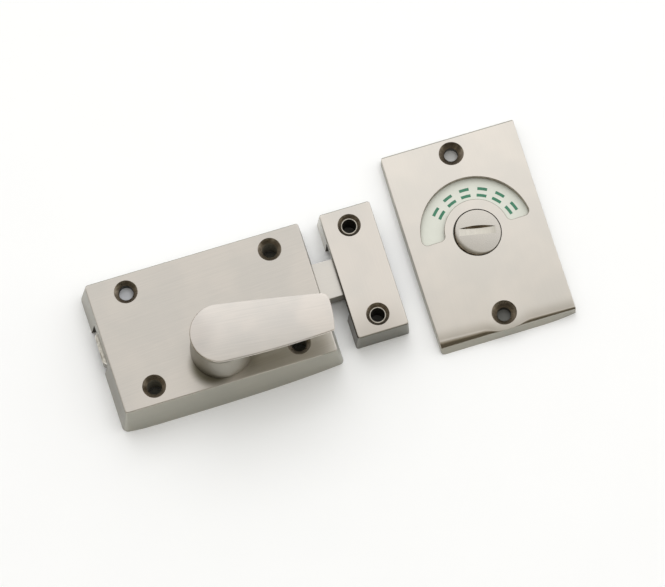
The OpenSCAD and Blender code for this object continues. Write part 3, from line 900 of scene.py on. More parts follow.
@dataclass(frozen=True)
class ScrewHole:
    """A countersunk hole for a wood screw, which may have a level seat at the countersink's foot."""

    bore_r: float
    sink_r: float
    seat: float = 0.0
    seat_rise: float = 0.4

    def cut(self, shape: Shape, mouth: Vector, bore: Finish, seat: Finish) -> None:
        """Cuts the hole, its countersink last.

        Args:
            shape: The shape that it goes through, down to the floor.
            mouth: The middle of its mouth.
            bore: The finish of the bore.
            seat: The finish of the seat.
        """
        axis = (mouth.x, mouth.y)
        seat_z = mouth.z - (self.sink_r - self.bore_r) + self.seat * self.seat_rise
        cone = [
            (self.bore_r / 2, seat_z),
            (self.bore_r + self.seat, seat_z),
            (self.sink_r, mouth.z),
            (self.sink_r, mouth.z + PAST),
        ]
        shape.meet(Cut.AWAY, Shape.drum(self.bore_r, (-PAST, mouth.z + PAST), axis, bore, BORE_ROUND))
        sink = Shape.turned([cone] * BORE_ROUND, axis, SINK_PATINA)
        shape.meet(Cut.AWAY, sink.paint(seat, lambda normal: normal.z < -LEVEL))


@dataclass
class BoltCase:
    """The case, a hollow casting with leaning sides."""

    hole_r: float = 2.5
    sink_r: float = 3.9
    hole_in: Flat = (13.4, 7.4)
    leans: Four = (1.2, 1.5, 2.35, 3.4)
    right_trim: float = 0.8
    right_flare: float = 0.6
    left_swell: float = 0.35
    near_swell: float = 2.1
    near_nips: Flat = (0.75, 1.85)
    nip_powers: Flat = (2.0, 3.2)
    nip_start: float = -28.0
    skew: float = 1.1
    edge: float = 0.45
    wall: float = 4.2
    face: float = 2.3
    boss_wall: float = 1.3
    boss_lap: float = 0.5
    foot_radii: Four = (1.2, 2.6, 1.8, 1.4)
    top_radii: Four = (0.8, 1.2, 0.6, 0.9)
    slot_play: float = 0.4
    tail_room: float = 0.9
    bush_r: float = 6.05
    # How far a face has to be turned to the left to get the left end's finish, which has painted shade
    left_turn: float = 0.7

    def foot_move(self, x: float, y: float) -> Flat:
        """Finds how far the worn foot lies off the block's straight sides.

        Args:
            x: Place along the case.
            y: Place across it.

        Returns:
            The move along and across.
        """
        half = Box.of("bolt_case").size / 2
        flare = self.right_flare * (1 - y / half.y) / 2 if x > 0 else 0.0
        way = x - self.nip_start
        right = int(way > 0)
        reach = half.x - self.nip_start if right else half.x + self.nip_start
        nip = self.near_nips[right] * (way / reach) ** self.nip_powers[right]
        return (flare, nip if y < 0 else 0.0)

    def mouths(self) -> list[Vector]:
        """Finds the mouths of the screw holes.

        Returns:
            Their middles, the far left one second.
        """
        box = Box.of("bolt_case")
        out = [h - i for h, i in zip(box.size / 2, self.hole_in)]
        return [Vector((sx * out[0], sy * out[1], box.hi.z)) for sx in (-1, 1) for sy in (-1, 1)]

    def build(self) -> None:
        """Builds and dresses the case."""
        box = Box.of("bolt_case")
        half = box.size / 2
        under = box.hi.z - self.face
        low = box.lo - Vector((self.left_swell, self.near_swell, 0))
        worn = Box(low, box.hi - Vector((self.right_trim, 0, 0)))
        radii = (self.foot_radii, self.top_radii)
        shape = leaning_block(worn, self.leans, self.edge, *radii, CASE_NICKEL, self.skew, self.foot_move)
        shape.paint(LEFT_NICKEL, lambda normal: normal.x < -self.left_turn)
        room = (half.x - self.wall, half.y - self.wall)
        shape.meet(Cut.AWAY, Shape.pocket((0, 0), room, under, INSIDE_CAST))
        self.cut_bolt_way(shape, half.x, room[0])
        boss_r = self.hole_r + self.boss_wall
        boss_ends = (Box.of("case_back_plate").hi.z, under + self.boss_lap)
        for mouth in self.mouths():
            boss = Shape.drum(boss_r, boss_ends, (mouth.x, mouth.y), INSIDE_CAST, BOSS_ROUND)
            shape.meet(Cut.ONTO, boss)
        hole = ScrewHole(self.hole_r, self.sink_r)
        for mouth in self.mouths():
            # The bore that holds the pale roll is near black, painted shade; the others get the bore's
            # patina.
            holds_roll = mouth.x < 0 < mouth.y
            hole.cut(shape, mouth, BORE_DARK if holds_roll else BORE_PATINA, SINK_PATINA)
        bush_ends = (under - PAST, box.hi.z + PAST)
        shape.meet(Cut.AWAY, Shape.drum(self.bush_r, bush_ends, Box.of("turn_bush").axis, INSIDE_CAST))
        shape.dress("case_shell", Body.FIXED, Slot.NICKEL, "bolt_case")

    def cut_bolt_way(self, shape: Shape, half_l: float, room_l: float) -> None:
        """Cuts the way for the bolt through both ends, wider at the tail's far corner.

        Args:
            shape: The case.
            half_l: Half the case's length.
            room_l: Half the length of the room inside it.
        """
        bolt = Box.of("slide_bolt")
        far, top = bolt.hi.y + self.slot_play, bolt.hi.z + self.slot_play
        low = Vector((-half_l - 3 * PAST, far - SlideBolt.width - 2 * self.slot_play, -PAST))
        for high in ((half_l + PAST, far, top), (-room_l, far + self.tail_room, top)):
            shape.meet(Cut.AWAY, Shape.block(low, Vector(high), INSIDE_CAST))


@dataclass
class SlideBolt:
    """The sliding bar, its rough tail and the rack on its edge."""

    width: float = 13.0
    nose: float = 0.8
    tail: float = 1.6
    tail_far: float = 2.3
    tail_reach: float = 1.2
    tail_l: float = 2.8
    tail_bevel: float = 0.45
    edge: float = 0.22
    edge_steps: int = 3
    teeth: int = 9
    pitch: float = math.pi
    rack_start: float = -2 * math.pi
    tooth_foot: float = 1.19
    tooth_tip: float = 0.4
    tooth_sunk: float = 0.3
    tooth_in: float = 0.1

    def build(self) -> None:
        """Builds and dresses the bar, its tail and its rack."""
        box = Box.of("slide_bolt")
        low = box.hi.y - self.width
        start = box.lo.x - self.tail_reach + self.tail_l
        self.build_bar(box, low, start)
        self.build_tail(box, low, start)
        self.build_rack(box, low)

    def build_bar(self, box: Box, low: float, start: float) -> None:
        """Builds the smooth bar with its chamfered nose.

        Args:
            box: The bolt's box.
            low: Where the bar's near edge lies.
            start: Where the bar begins.
        """
        high, end = box.hi.y, box.hi.x
        outline = [
            (start, low),
            (end - self.nose, low),
            (end, low + self.nose),
            (end, high - self.nose),
            (end - self.nose, high),
            (start, high),
        ]
        rounding = arc((0, 0), self.edge, 0, 90, self.edge_steps)
        steps = [(self.edge - x, box.lo.z + self.edge - z) for x, z in reversed(rounding)]
        steps += [(self.edge - x, box.hi.z - self.edge + z) for x, z in rounding]
        rings = [raised(inset(outline, amount), z)[0] for amount, z in steps]
        bar = Shape.loft(rings, BOLT_NICKEL).paint(BOLT_SIDE, lambda normal: abs(normal.z) < STEEP)
        bar.dress("bolt_bar", Body.BOLT, Slot.NICKEL, "slide_bolt")

    def build_tail(self, box: Box, low: float, start: float) -> None:
        """Builds the rough end of the bar, with a bevel on its upper edge.

        Args:
            box: The bolt's box.
            low: Where the bar's near edge lies.
            start: Where the smooth bar begins.
        """
        high, end = box.hi.y, start - self.tail_l
        outline = [
            (start, low),
            (start, high),
            (end + self.tail_far, high),
            (end, high - self.tail_far),
            (end, low + self.tail),
            (end + self.tail, low),
        ]
        beveled = [(x + self.tail_bevel if x < start else x, y) for x, y in outline]
        rings = raised(outline, box.lo.z, box.hi.z - self.tail_bevel) + raised(beveled, box.hi.z)
        shape = Shape.loft(rings, BOLT_TAIL).paint(BOLT_END, lambda normal: abs(normal.z) < UPRIGHT)
        shape.paint(BOLT_EDGE, lambda normal: UPRIGHT < normal.z < LEVEL)
        shape.dress("bolt_tail", Body.BOLT, Slot.NICKEL)

    def build_rack(self, box: Box, low: float) -> None:
        """Builds the teeth, whose feet are sunk into the bar.

        Args:
            box: The bolt's box, whose low side is the teeth's tips.
            low: Where the bar's near edge lies.
        """
        maker = bmesh.new()
        foot, tip, root = self.tooth_foot, self.tooth_tip, low + self.tooth_sunk
        tooth = [(-foot, root), (-tip, box.lo.y), (tip, box.lo.y), (foot, root)]
        heights = (box.lo.z + self.tooth_in, box.hi.z - self.tooth_in)
        for i in range(self.teeth):
            middle = self.rack_start + (i + 0.5) * self.pitch
            add_loft(maker, raised(shifted(tooth, (middle, 0)), *heights))
        Shape(maker, BOLT_NICKEL).dress("bolt_rack", Body.BOLT, Slot.NICKEL)


@dataclass
class Turn:
    """The hub and the paddle that turns it."""

    angle_deg: float = -5.8
    end_r: float = 9.6
    reach: float = 36.9
    taper: float = 5.1
    far_r: float = 2.4
    near_r: float = 0.6
    least_r: float = 0.2
    bows: Flat = (0.55, 0.15)
    thickness: float = 3.0
    undercut: float = 1.5
    crown_r: float = 110.0
    edge: float = 0.42
    foot_edge: float = 0.3
    hub_spread: float = 0.4
    hub_in: float = 0.3
    neck_r: float = 8.6
    spigot_r: float = 4.0
    tang: float = 6.5
    tang_corner: float = 0.8
    tang_steps: int = 4
    end_room: float = 0.2
    play: float = 0.05
    # How far a face has to be turned down, or else back and not up, to get the underside's finish, which is
    # painted shade
    under_turn: float = 0.1
    end_turns: Flat = (0.35, 0.8)

    def outline(self, inside: float = 0.0) -> list[Flat]:
        """Makes the paddle's outline about the turn's axis, before it is turned to its angle.

        Args:
            inside: How far inside the paddle's own outline it runs.

        Returns:
            The outline, anticlockwise.
        """
        end_steps, corner_steps, tip_steps = 60, 12, 16
        side = 90 - self.taper
        end_r, reach = self.end_r - inside, self.reach - inside
        points = arc((0, 0), end_r, side, 360 - side, end_steps)
        ways: list[float] = []
        corners: list[list[Flat]] = []
        for sign, full in ((-1, self.near_r), (1, self.far_r)):
            radius = max(full - inside, self.least_r)
            way = sign * (math.degrees(math.asin((end_r - radius) / (reach - radius))) - self.taper)
            middle = arc((0, 0), reach - radius, way, way, 1)[0]
            ends = (-side, way) if sign < 0 else (way, side)
            corners.append(arc(middle, radius, *ends, corner_steps))
            ways.append(way)
        near = self.bowed(points[-1], corners[0][0], self.bows[0])
        far = self.bowed(corners[1][-1], points[0], self.bows[1])
        tip = arc((0, 0), reach, *ways, tip_steps)[1:-1]
        return [*points, *near, *corners[0], *tip, *corners[1], *far]

    def bowed(self, start: Flat, end: Flat, bow: float) -> list[Flat]:
        """Makes the points between two others on a side that is bowed outwards.

        Args:
            start: The point before them.
            end: The point after them.
            bow: How far out the middle lies.

        Returns:
            The points.
        """
        steps = 12
        along = Vector(end) - Vector(start)
        out = Vector((along.y, -along.x)).normalized()
        shares = [i / steps for i in range(1, steps)]
        places = [Vector(start) + along * t + out * bow * 4 * t * (1 - t) for t in shares]
        return [(p.x, p.y) for p in places]

    def crowned(self, outline: Sequence[Flat], top: float) -> Ring:
        """Lays an outline on the paddle's top, which falls away from its line on a wide arc."""
        falls = [self.crown_r - math.sqrt(self.crown_r**2 - y * y) for _, y in outline]
        return [Vector((x, y, top - fall)) for (x, y), fall in zip(outline, falls)]

    def build(self) -> None:
        """Builds and dresses the hub and the paddle."""
        hub, lever = Box.of("turn_hub"), Box.of("turn_lever")
        self.build_hub(hub, lever.lo.z)
        self.build_paddle(lever, hub)

    def build_hub(self, hub: Box, spigot_foot: float) -> None:
        """Builds the hub.

        Args:
            hub: The hub's box.
            spigot_foot: Height of the foot of the paddle's spigot.
        """
        axis, soft = hub.axis, self.foot_edge
        foot_r, top_r = hub.size.x / 2 + self.hub_spread, self.end_r - self.hub_in
        profile = [
            (foot_r - soft, hub.lo.z),
            (foot_r, hub.lo.z + soft),
            (top_r, hub.hi.z - soft),
            (top_r - soft, hub.hi.z),
        ]
        shape = Shape.turned([profile] * FINE_ROUND, axis, HUB_NICKEL)
        half = self.tang / 2
        corners = (self.tang_corner,) * 4
        socket = shifted(rounded_rectangle((half, half), corners, self.tang_steps), axis)
        socket_top = Box.of("turn_follower").hi.z + self.end_room
        shape.meet(Cut.AWAY, Shape.prism(socket, hub.lo.z - PAST, socket_top, INSIDE_CAST))
        bore_ends = (spigot_foot - self.end_room, hub.hi.z + PAST)
        shape.meet(Cut.AWAY, Shape.drum(self.spigot_r + self.play, bore_ends, axis, INSIDE_CAST, BORE_ROUND))
        screw = Box.of("hub_set_screw")
        side = Shape.drum(screw.size.x / 2 + self.play, (0, foot_r + PAST), (0, 0), SINK_PATINA, SMALL_ROUND)
        side.turned_by(-90, "X").moved(Matrix.Translation((*axis, screw.middle.z)))
        shape.meet(Cut.AWAY, side)
        shape.dress("turn_barrel", Body.TURN, Slot.NICKEL, "turn_hub")

    def build_paddle(self, lever: Box, hub: Box) -> None:
        """Builds the paddle with its neck and spigot.

        Args:
            lever: The lever's box.
            hub: The hub's box.
        """
        edge_steps, rows, rows_to_spine = 6, 8, 8.2
        outline = self.outline()
        top, low = lever.hi.z, lever.hi.z - self.thickness
        rings = raised(self.outline(self.undercut), low)
        for x, z in arc((0, 0), self.edge, 0, 90, edge_steps):
            rings.append(self.crowned(inset(outline, self.edge - x), top - self.edge + z))
        rim = inset(outline, self.edge)
        spine = [(min(max(x, 0.0), self.reach - self.end_r), 0.0) for x, _ in rim]
        for row in range(1, rows + 1):
            share = row / rows_to_spine
            flat = [(p + (a - p) * share, q + (b - q) * share) for (p, q), (a, b) in zip(rim, spine)]
            rings.append(self.crowned(flat, top))
        shape = Shape.loft(rings, LEVER_NICKEL)
        # The underside and the round end's left side get painted shade.
        shape.paint(UNDER_NICKEL, lambda normal: normal.z < -self.under_turn)
        back, up = self.end_turns
        shape.paint(UNDER_NICKEL, lambda normal: normal.x < -back and normal.z < up)
        for radius, foot in ((self.neck_r, hub.hi.z), (self.spigot_r, lever.lo.z)):
            shape.meet(Cut.ONTO, Shape.drum(radius, (foot, low + PAST), (0, 0), SINK_PATINA))
        shape.turned_by(self.angle_deg, "Z").moved(Matrix.Translation((*hub.axis, 0)))
        shape.dress("turn_paddle", Body.TURN, Slot.NICKEL, "turn_lever")


@dataclass
class Keep:
    """The bridge that the bolt is thrown into."""

    leans: Four = (0.45, 0.6, 0.55, 0.6)
    left_swell: float = 0.1
    edge: float = 0.5
    corner: float = 0.9
    tunnel: float = 25.0
    play: float = 0.5
    hole_r: float = 2.4
    sink_r: float = 3.85
    seat: float = 0.27
    holes: float = 31.7
    # How far a face has to be turned to the left or to the near side to get that side's finish with painted
    # shade
    left_turn: float = 0.3
    near_turn: float = 0.6

    def mouths(self) -> list[Vector]:
        """Finds the middles of the screw holes' mouths."""
        box = Box.of("keep")
        return [Vector((box.middle.x, box.middle.y + s * self.holes / 2, box.hi.z)) for s in (-1, 1)]

    def build(self) -> None:
        """Builds and dresses the keep."""
        box = Box.of("keep")
        corners = (self.corner,) * 4
        worn = Box(box.lo - Vector((self.left_swell, 0, 0)), box.hi)
        shape = leaning_block(worn, self.leans, self.edge, corners, corners, KEEP_NICKEL)
        shape.paint(KEEP_SIDE, lambda normal: normal.x < -self.left_turn)
        shape.paint(KEEP_FRONT, lambda normal: normal.y < -self.near_turn)
        half = (box.size.x / 2 + PAST, self.tunnel / 2)
        roof = Box.of("slide_bolt").hi.z + self.play
        shape.meet(Cut.AWAY, Shape.pocket(box.axis, half, roof, INSIDE_CAST))
        hole = ScrewHole(self.hole_r, self.sink_r, self.seat)
        for mouth in self.mouths():
            hole.cut(shape, mouth, BORE_DARK, KEEP_SEAT)
        shape.dress("keep_bridge", Body.FIXED, Slot.NICKEL, "keep")


@dataclass
class IndicatorPlate:
    """The crowned plate with its half-ring window."""

    end_height: float = 4.2
    near_swell: float = 1.14
    near_lean_deg: float = 17.5
    lean_gain: float = 5.8
    nip: float = 0.9
    nip_lean_deg: float = 14.5
    nip_start: float = 0.75
    near_fall: float = 0.25
    near_run: float = 3.6
    far_lean: float = 0.2
    far_roll: float = 0.7
    side_lean: float = 0.15
    side_edge: float = 0.25
    side_foot: float = 0.03
    left_bow: Three = (0.0, 0.5, 0.35)
    right_bow: Three = (0.35, 0.0, 0.05)
    bevel_left: float = 2.5
    bevel_fade: float = 1.15
    bevel_gap: Flat = (0.05, 0.17)
    bevel_deg: float = 50.0
    bevel_r: float = 0.08
    bevel_flat: float = 0.5
    bevel_roll: float = 0.9
    corners: Four = (1.0, 1.6, 1.3, 0.4)
    corner_play: float = 0.02
    hole_in: float = 5.6
    hole_r: float = 2.35
    sink_r: float = 4.25
    window_r: float = 18.8
    window_inner_r: float = 10.9
    window_corner: float = 1.8
    web: float = 2.9
    window_shift: float = 0.55
    window_deg: float = 1.0
    line_w: float = 0.14
    line_depth: float = 0.12
    knob_hole_r: float = 8.14
    knob_hole_off: Flat = (-0.13, -0.13)
    recess_r: float = 21.6
    pocket_play: float = 0.1
    # A face whose normal rises less than this gets the finish of the plate's edges, which is painted shade
    end_steep: float = 0.6

    def bevel(self, share: float) -> float:
        """Finds the width of the near end's bevel, which hand polishing left uneven.

        Args:
            share: Place across the plate, from 0 at the left to 1 at the right.

        Returns:
            The width.
        """
        first, last = self.bevel_gap
        ease = min(max((abs(share - 0.5) - first) / (last - first), 0.0), 1.0)
        return self.bevel_left * math.exp(-self.bevel_fade * share) * ease * ease * (3 - 2 * ease)

    def bowed(self, share: float, way: float) -> float:
        """Finds how far a place moves along X, because the plate's long sides are bowed.

        Args:
            share: Place across the plate, from 0 to 1.
            way: Place along it, from -1 at the near end to 1 at the far one.

        Returns:
            The move.
        """
        moves: list[float] = []
        for far, middle, near in (self.left_bow, self.right_bow):
            moves.append(middle + (far - near) / 2 * way + ((far + near) / 2 - middle) * way * way)
        return moves[1] * share - moves[0] * (1 - share)

    def top(self, box: Box, way: float) -> float:
        """Finds the crown's height at a way along the plate, from -1 to 1."""
        return box.hi.z - (box.hi.z - self.end_height) * way**2

    def outline(self, half: Vector) -> list[Flat]:
        """Makes the plate's outline from above, about its middle.

        Args:
            half: Half the plate's size.

        Returns:
            The outline.
        """
        near = self.near_swell / 2
        points = rounded_rectangle((half.x + self.corner_play, half.y + near), self.corners)
        for side in (len(points), 2 * (CORNER_STEPS + 1)):
            fill_side(points, side)
        return [(x + self.bowed(float(x > 0), y / half.y), y - near) for x, y in points]

    def window(self, middle: Vector) -> list[Flat]:
        """Makes the window's outline.

        Args:
            middle: The plate's middle.

        Returns:
            The outline.
        """
        outer_steps, inner_steps, corner_steps = 72, 60, 10
        corner = self.window_corner
        outer_x = math.sqrt((self.window_r - corner) ** 2 - corner**2)
        inner_x = math.sqrt((self.window_inner_r + corner) ** 2 - corner**2)
        outer_a = math.degrees(math.atan2(corner, outer_x))
        inner_a = math.degrees(math.atan2(corner, inner_x))
        points = [
            *arc((0, 0), self.window_r, outer_a, 180 - outer_a, outer_steps)[:-1],
            *arc((-outer_x, corner), corner, 180 - outer_a, 270, corner_steps),
            *arc((-inner_x, corner), corner, 270, 360 - inner_a, corner_steps)[:-1],
            *arc((0, 0), self.window_inner_r, 180 - inner_a, inner_a, inner_steps)[:-1],
            *arc((inner_x, corner), corner, 180 + inner_a, 270, corner_steps),
            *arc((outer_x, corner), corner, 270, 360 + outer_a, corner_steps)[:-1],
        ]
        turn = Matrix.Rotation(math.radians(self.window_deg), 2)
        places = [turn @ Vector(point) for point in points]
        return [(middle.x + p.x, middle.y + self.window_shift + p.y) for p in places]

    def line_tool(self, box: Box) -> Shape:
        """Makes the tool for the fine line round the window, which follows the crown.

        Args:
            box: The plate's box.

        Returns:
            The tool.
        """
        steps = 40
        ways = [2 * i / steps - 1 for i in range(steps + 1)]
        low = [(box.middle.y + box.size.y / 2 * way, self.top(box, way) - self.line_depth) for way in ways]
        ring = [*low, (box.hi.y, box.hi.z + PAST), (box.lo.y, box.hi.z + PAST)]
        above = Shape.loft([[Vector((x, y, z)) for y, z in ring] for x in (box.lo.x, box.hi.x)], RIM_PATINA)
        wider = inset(self.window(box.middle), -self.line_w)
        return Shape.prism(wider, 0, box.hi.z + 2 * PAST, RIM_PATINA).meet(Cut.WITHIN, above)

    def mouths(self) -> list[Vector]:
        """Finds the mouths of the screw holes.

        Returns:
            Their middles.
        """
        box = Box.of("indicator_plate")
        out = box.size.y / 2 - self.hole_in
        z = self.top(box, 2 * out / box.size.y)
        return [Vector((box.middle.x, box.middle.y + s * out, z)) for s in (-1, 1)]

    def section(self, half_l: float, height: float, share: float) -> list[Flat]:
        """Makes one lengthwise section of the plate.

        Args:
            half_l: Half the plate's length.
            height: Height of the crown.
            share: Place of the section across the plate, from 0 to 1.

        Returns:
            Pairs of the distance from the plate's middle and the height, from the near end to the far one.
        """
        steps, gathered = 40, 1.5
        bevel = self.bevel(share)
        radii = (self.bevel_r, self.bevel_r + self.bevel_roll * bevel)
        nip = max(0.0, (share - self.nip_start) / (1 - self.nip_start)) ** 2
        near_l = half_l + self.near_swell - self.nip * nip
        lean = self.near_lean_deg + self.lean_gain * bevel - self.nip_lean_deg * nip
        near_h = self.end_height - self.near_fall
        near = bevel_profile(near_h, lean, self.bevel_deg, self.bevel_flat * bevel, radii)
        far = edge_profile(self.end_height, self.far_lean, self.far_roll)
        points = [(-near_l - out, z) for out, z in near]
        start, end = -near_l - near[-1][0], half_l + far[-1][0]
        for i in range(1, steps):
            y = start + (end - start) * (i / steps) ** gathered
            way = y / (end if y > 0 else -start)
            fall = self.near_fall * max(0.0, 1 - (y - start) / self.near_run) ** 2
            points.append((y, height - (height - self.end_height) * way * way - fall))
        return points + [(half_l + out, z) for out, z in reversed(far)]

    def body(self, box: Box) -> Shape:
        """Makes the crowned plate, before anything is cut into it.

        Args:
            box: The plate's box.

        Returns:
            The shape.
        """
        steps = 24
        middle, half = box.middle, box.size / 2
        edge = edge_profile(self.end_height, self.side_lean, self.side_edge)
        sides = [(half.x + out, max(z / self.end_height, self.side_foot)) for out, z in edge]
        inner = sides[-1][0]
        stations = [(-x, rise) for x, rise in sides]
        stations += [(-inner + 2 * inner * i / steps, 1.0) for i in range(1, steps)]
        stations += reversed(sides)
        rings: list[Ring] = []
        for x, rise in stations:
            share = (x + half.x) / (2 * half.x)
            ring: Ring = []
            for y, z in self.section(half.y, box.hi.z, share):
                ring.append(Vector((middle.x + x + self.bowed(share, y / half.y), middle.y + y, z * rise)))
            rings.append(ring)
        shape = Shape.loft(rings, PLATE_NICKEL)
        shape.paint(PLATE_END, lambda normal: abs(normal.z) < self.end_steep or normal.y > FAR_TURN)
        rounded = shifted(self.outline(half), box.axis)
        return shape.meet(Cut.WITHIN, Shape.prism(rounded, -PAST, box.hi.z + PAST, PLATE_END))

    def build(self) -> None:
        """Builds and dresses the plate."""
        box, cover = Box.of("indicator_plate"), Box.of("indicator_back_cover")
        shape = self.body(box)
        through = (self.web - PAST, box.hi.z + PAST)
        shape.meet(Cut.AWAY, Shape.drum(self.recess_r, (-PAST, self.web), box.axis, INSIDE_CAST))
        play = Vector((self.pocket_play, self.pocket_play, 0))
        low = cover.lo - play - Vector((0, 0, PAST))
        shape.meet(Cut.AWAY, Shape.block(low, cover.hi + play, INSIDE_CAST))
        knob_axis = (box.axis[0] + self.knob_hole_off[0], box.axis[1] + self.knob_hole_off[1])
        shape.meet(Cut.AWAY, Shape.drum(self.knob_hole_r, through, knob_axis, SINK_PATINA, FINE_ROUND))
        window = Shape.prism(self.window(box.middle), *through, SINK_PATINA)
        shape.meet(Cut.AWAY, window, self.line_tool(box))
        hole = ScrewHole(self.hole_r, self.sink_r)
        for mouth in self.mouths():
            hole.cut(shape, mouth, BORE_DARK, SINK_PATINA)
        shape.dress("indicator_face", Body.FIXED, Slot.NICKEL, "indicator_plate")


@dataclass
class Release:
    """The coin release and the disc that it turns."""

    head_spread: float = 0.12
    dome: float = 0.4
    edge: float = 0.22
    worn: Flat = (1.7, 1.5)
    worn_deg: float = 210.0
    worn_power: float = 1.5
    drive_r: float = 5.4
    play: float = 0.05
    journal_r: float = 4.5
    socket: float = 5.1
    socket_depth: float = 2.9
    slot_l: float = 13.3
    slot_w: float = 2.5
    slot_depth: float = 1.45
    slot_bevel: float = 0.7
    bevel_depth: float = 1.05
    slot_deg: float = -11.7
    slot_off: float = 0.35
    stop_deg: float = 87.3
    mark_r: float = 14.6
    mark_rise: float = 0.03
    mark_arc: Flat = (21.0, 134.0)
    marks: int = 6
    bar_l: float = 3.3
    bar_w: float = 1.0
    bar_gap: float = 2.3

    def build(self) -> None:
        """Builds and dresses the release and the disc."""
        self.build_knob()
        self.build_disc()

    def build_knob(self) -> None:
        """Builds the release's head, drive and journal."""
        steps = FINE_ROUND
        box, disc = Box.of("release_knob"), Box.of("indicator_disc")
        radius = box.size.x / 2 + self.head_spread
        stem = [(self.journal_r, box.lo.z), (self.journal_r, disc.lo.z), (self.drive_r, disc.lo.z)]
        stem += [(self.drive_r, disc.hi.z), (radius, disc.hi.z)]
        profiles = [[*stem, *self.rim(360 * i / steps, radius, box.hi.z)] for i in range(steps)]
        shape = Shape.turned(profiles, box.axis, RELEASE_NICKEL)
        half = (self.socket / 2, self.socket / 2)
        socket = Shape.pocket(box.axis, half, self.socket_depth, INSIDE_CAST)
        shape.meet(Cut.AWAY, socket, self.slot_tool(box))
        shape.dress("release_head", Body.RELEASE, Slot.NICKEL, "release_knob")

    def slot_tool(self, box: Box) -> Shape:
        """Makes the wheel that mills the coin slot.

        Args:
            box: The release's box.

        Returns:
            The tool.
        """
        radius = (self.slot_l**2 / 4 + self.slot_depth**2) / (2 * self.slot_depth)
        side = self.slot_w / 2
        bevel = (radius - self.bevel_depth * self.slot_depth, -side - self.slot_bevel)
        profile = [bevel, (radius, -side), (radius, side)]
        wheel = Shape.turned([profile] * WHEEL_ROUND, (0, 0), SLOT_NICKEL)
        wheel.paint(SINK_PATINA, lambda normal: abs(normal.z) > STEEP)
        wheel.turned_by(90, "X")
        wheel.moved(Matrix.Translation((0, self.slot_off, box.hi.z - self.slot_depth + radius)))
        return wheel.turned_by(self.slot_deg, "Z").moved(Matrix.Translation((*box.axis, 0)))

    def rim(self, angle: float, radius: float, top: float) -> list[Flat]:
        """Makes the head's profile at one angle: its edge, which is worn on one side, and its low dome.

        Args:
            angle: The angle, in degrees.
            radius: Radius of the head.
            top: Height of the dome.

        Returns:
            Pairs of radius and height, from the edge inwards.
        """
        edge_steps, rows, rows_to_middle = 8, 16, 16.5
        wear = max(0.0, math.cos(math.radians(angle - self.worn_deg))) ** self.worn_power
        wide, high = [self.edge + w * wear for w in self.worn]
        dome_r = (radius**2 + self.dome**2) / (2 * self.dome)
        flat_r = radius - wide
        flat_z = top - dome_r + math.sqrt(dome_r**2 - flat_r**2)
        quarter = arc((0, 0), 1.0, 0, 90, edge_steps)
        points = [(flat_r + wide * x, flat_z - high + high * z) for x, z in quarter]
        for row in range(1, rows + 1):
            r = flat_r * (1 - row / rows_to_middle)
            points.append((r, top - dome_r + math.sqrt(dome_r**2 - r * r)))
        return points

    def build_disc(self) -> None:
        """Builds the disc and the marks printed on its two halves."""
        half_steps = 90
        box, axis = Box.of("indicator_disc"), Box.of("disc_collar").axis
        ring = arc(axis, box.hi.x - axis[0], -self.stop_deg, self.stop_deg, half_steps)
        ring += arc(axis, axis[0] - box.lo.x, self.stop_deg, 360 - self.stop_deg, half_steps)
        shape = Shape.prism(ring, box.lo.z, box.hi.z, DISC_CARD)
        hole_r = self.drive_r + self.play
        shape.meet(Cut.AWAY, Shape.drum(hole_r, (0, box.hi.z + PAST), axis, DISC_CARD))
        shape.dress("disc_card", Body.RELEASE, Slot.DISC, "indicator_disc")
        for name, turn, ink in (("marks_free", 0.0, GREEN_INK), ("marks_taken", 180.0, RED_INK)):
            self.build_marks(name, turn, ink, axis, box.hi.z)

    def build_marks(self, name: str, turn: float, ink: Finish, axis: Flat, face: float) -> None:
        """Builds one half's marks, which are plain pairs of bars.

        Args:
            name: The piece's name.
            turn: Angle of this half from the one in the window, in degrees.
            ink: The marks' finish.
            axis: The disc's axis.
            face: Height of the disc's face.
        """
        maker = bmesh.new()
        first, last = self.mark_arc
        for i in range(self.marks):
            middle = turn + first + (last - first) * i / (self.marks - 1)
            for side in (-1, 1):
                bar = self.bar(middle, self.mark_r + side * self.bar_gap / 2, axis)
                add_loft(maker, raised(bar, face, face + self.mark_rise))
        Shape(maker, ink).dress(name, Body.RELEASE, Slot.DISC)

    def bar(self, angle: float, radius: float, axis: Flat) -> list[Flat]:
        """Makes the outline of one bar that follows the disc round.

        Args:
            angle: Its middle's angle, in degrees.
            radius: Its middle's radius.
            axis: The disc's axis.

        Returns:
            The outline.
        """
        steps = 8
        reach = math.degrees(self.bar_l / 2 / radius)
        outer = arc(axis, radius + self.bar_w / 2, angle - reach, angle + reach, steps)
        return outer + arc(axis, radius - self.bar_w / 2, angle + reach, angle - reach, steps)


@dataclass
class HiddenParts:
    """The CAD nodes that stay as they are and only get a finish."""

    finishes: tuple[tuple[str, Finish], ...] = (
        ("case_back_plate", SHADED_ZINC),
        ("back_plate_screws", ZINC_PLATE),
        ("turn_bush", BARE_BRASS),
        ("turn_follower", BARE_BRASS),
        ("hub_washer", DARK_FIBRE),
        ("hub_set_screw", ZINC_PLATE),
        ("bolt_spring", BLUED_STEEL),
        ("disc_collar", BARE_BRASS),
        ("release_spring", BLUED_STEEL),
        ("indicator_back_cover", ZINC_PLATE),
        ("cover_screws", ZINC_PLATE),
        ("disc_stop_pin", ZINC_PLATE),
    )

    def build(self) -> None:
        """Gives each node its finish."""
        for node, finish in self.finishes:
            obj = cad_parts[node]
            obj.data.materials.clear()
            obj.data.materials.append(finish.material())
            LOG.info("%s: %s", node, finish.name)


@dataclass(frozen=True)
class SoftBox:
    """A square lamp: its way from the object, the length of its sides and its power in watts."""

    name: str
    way: Three
    size: float
    power: float


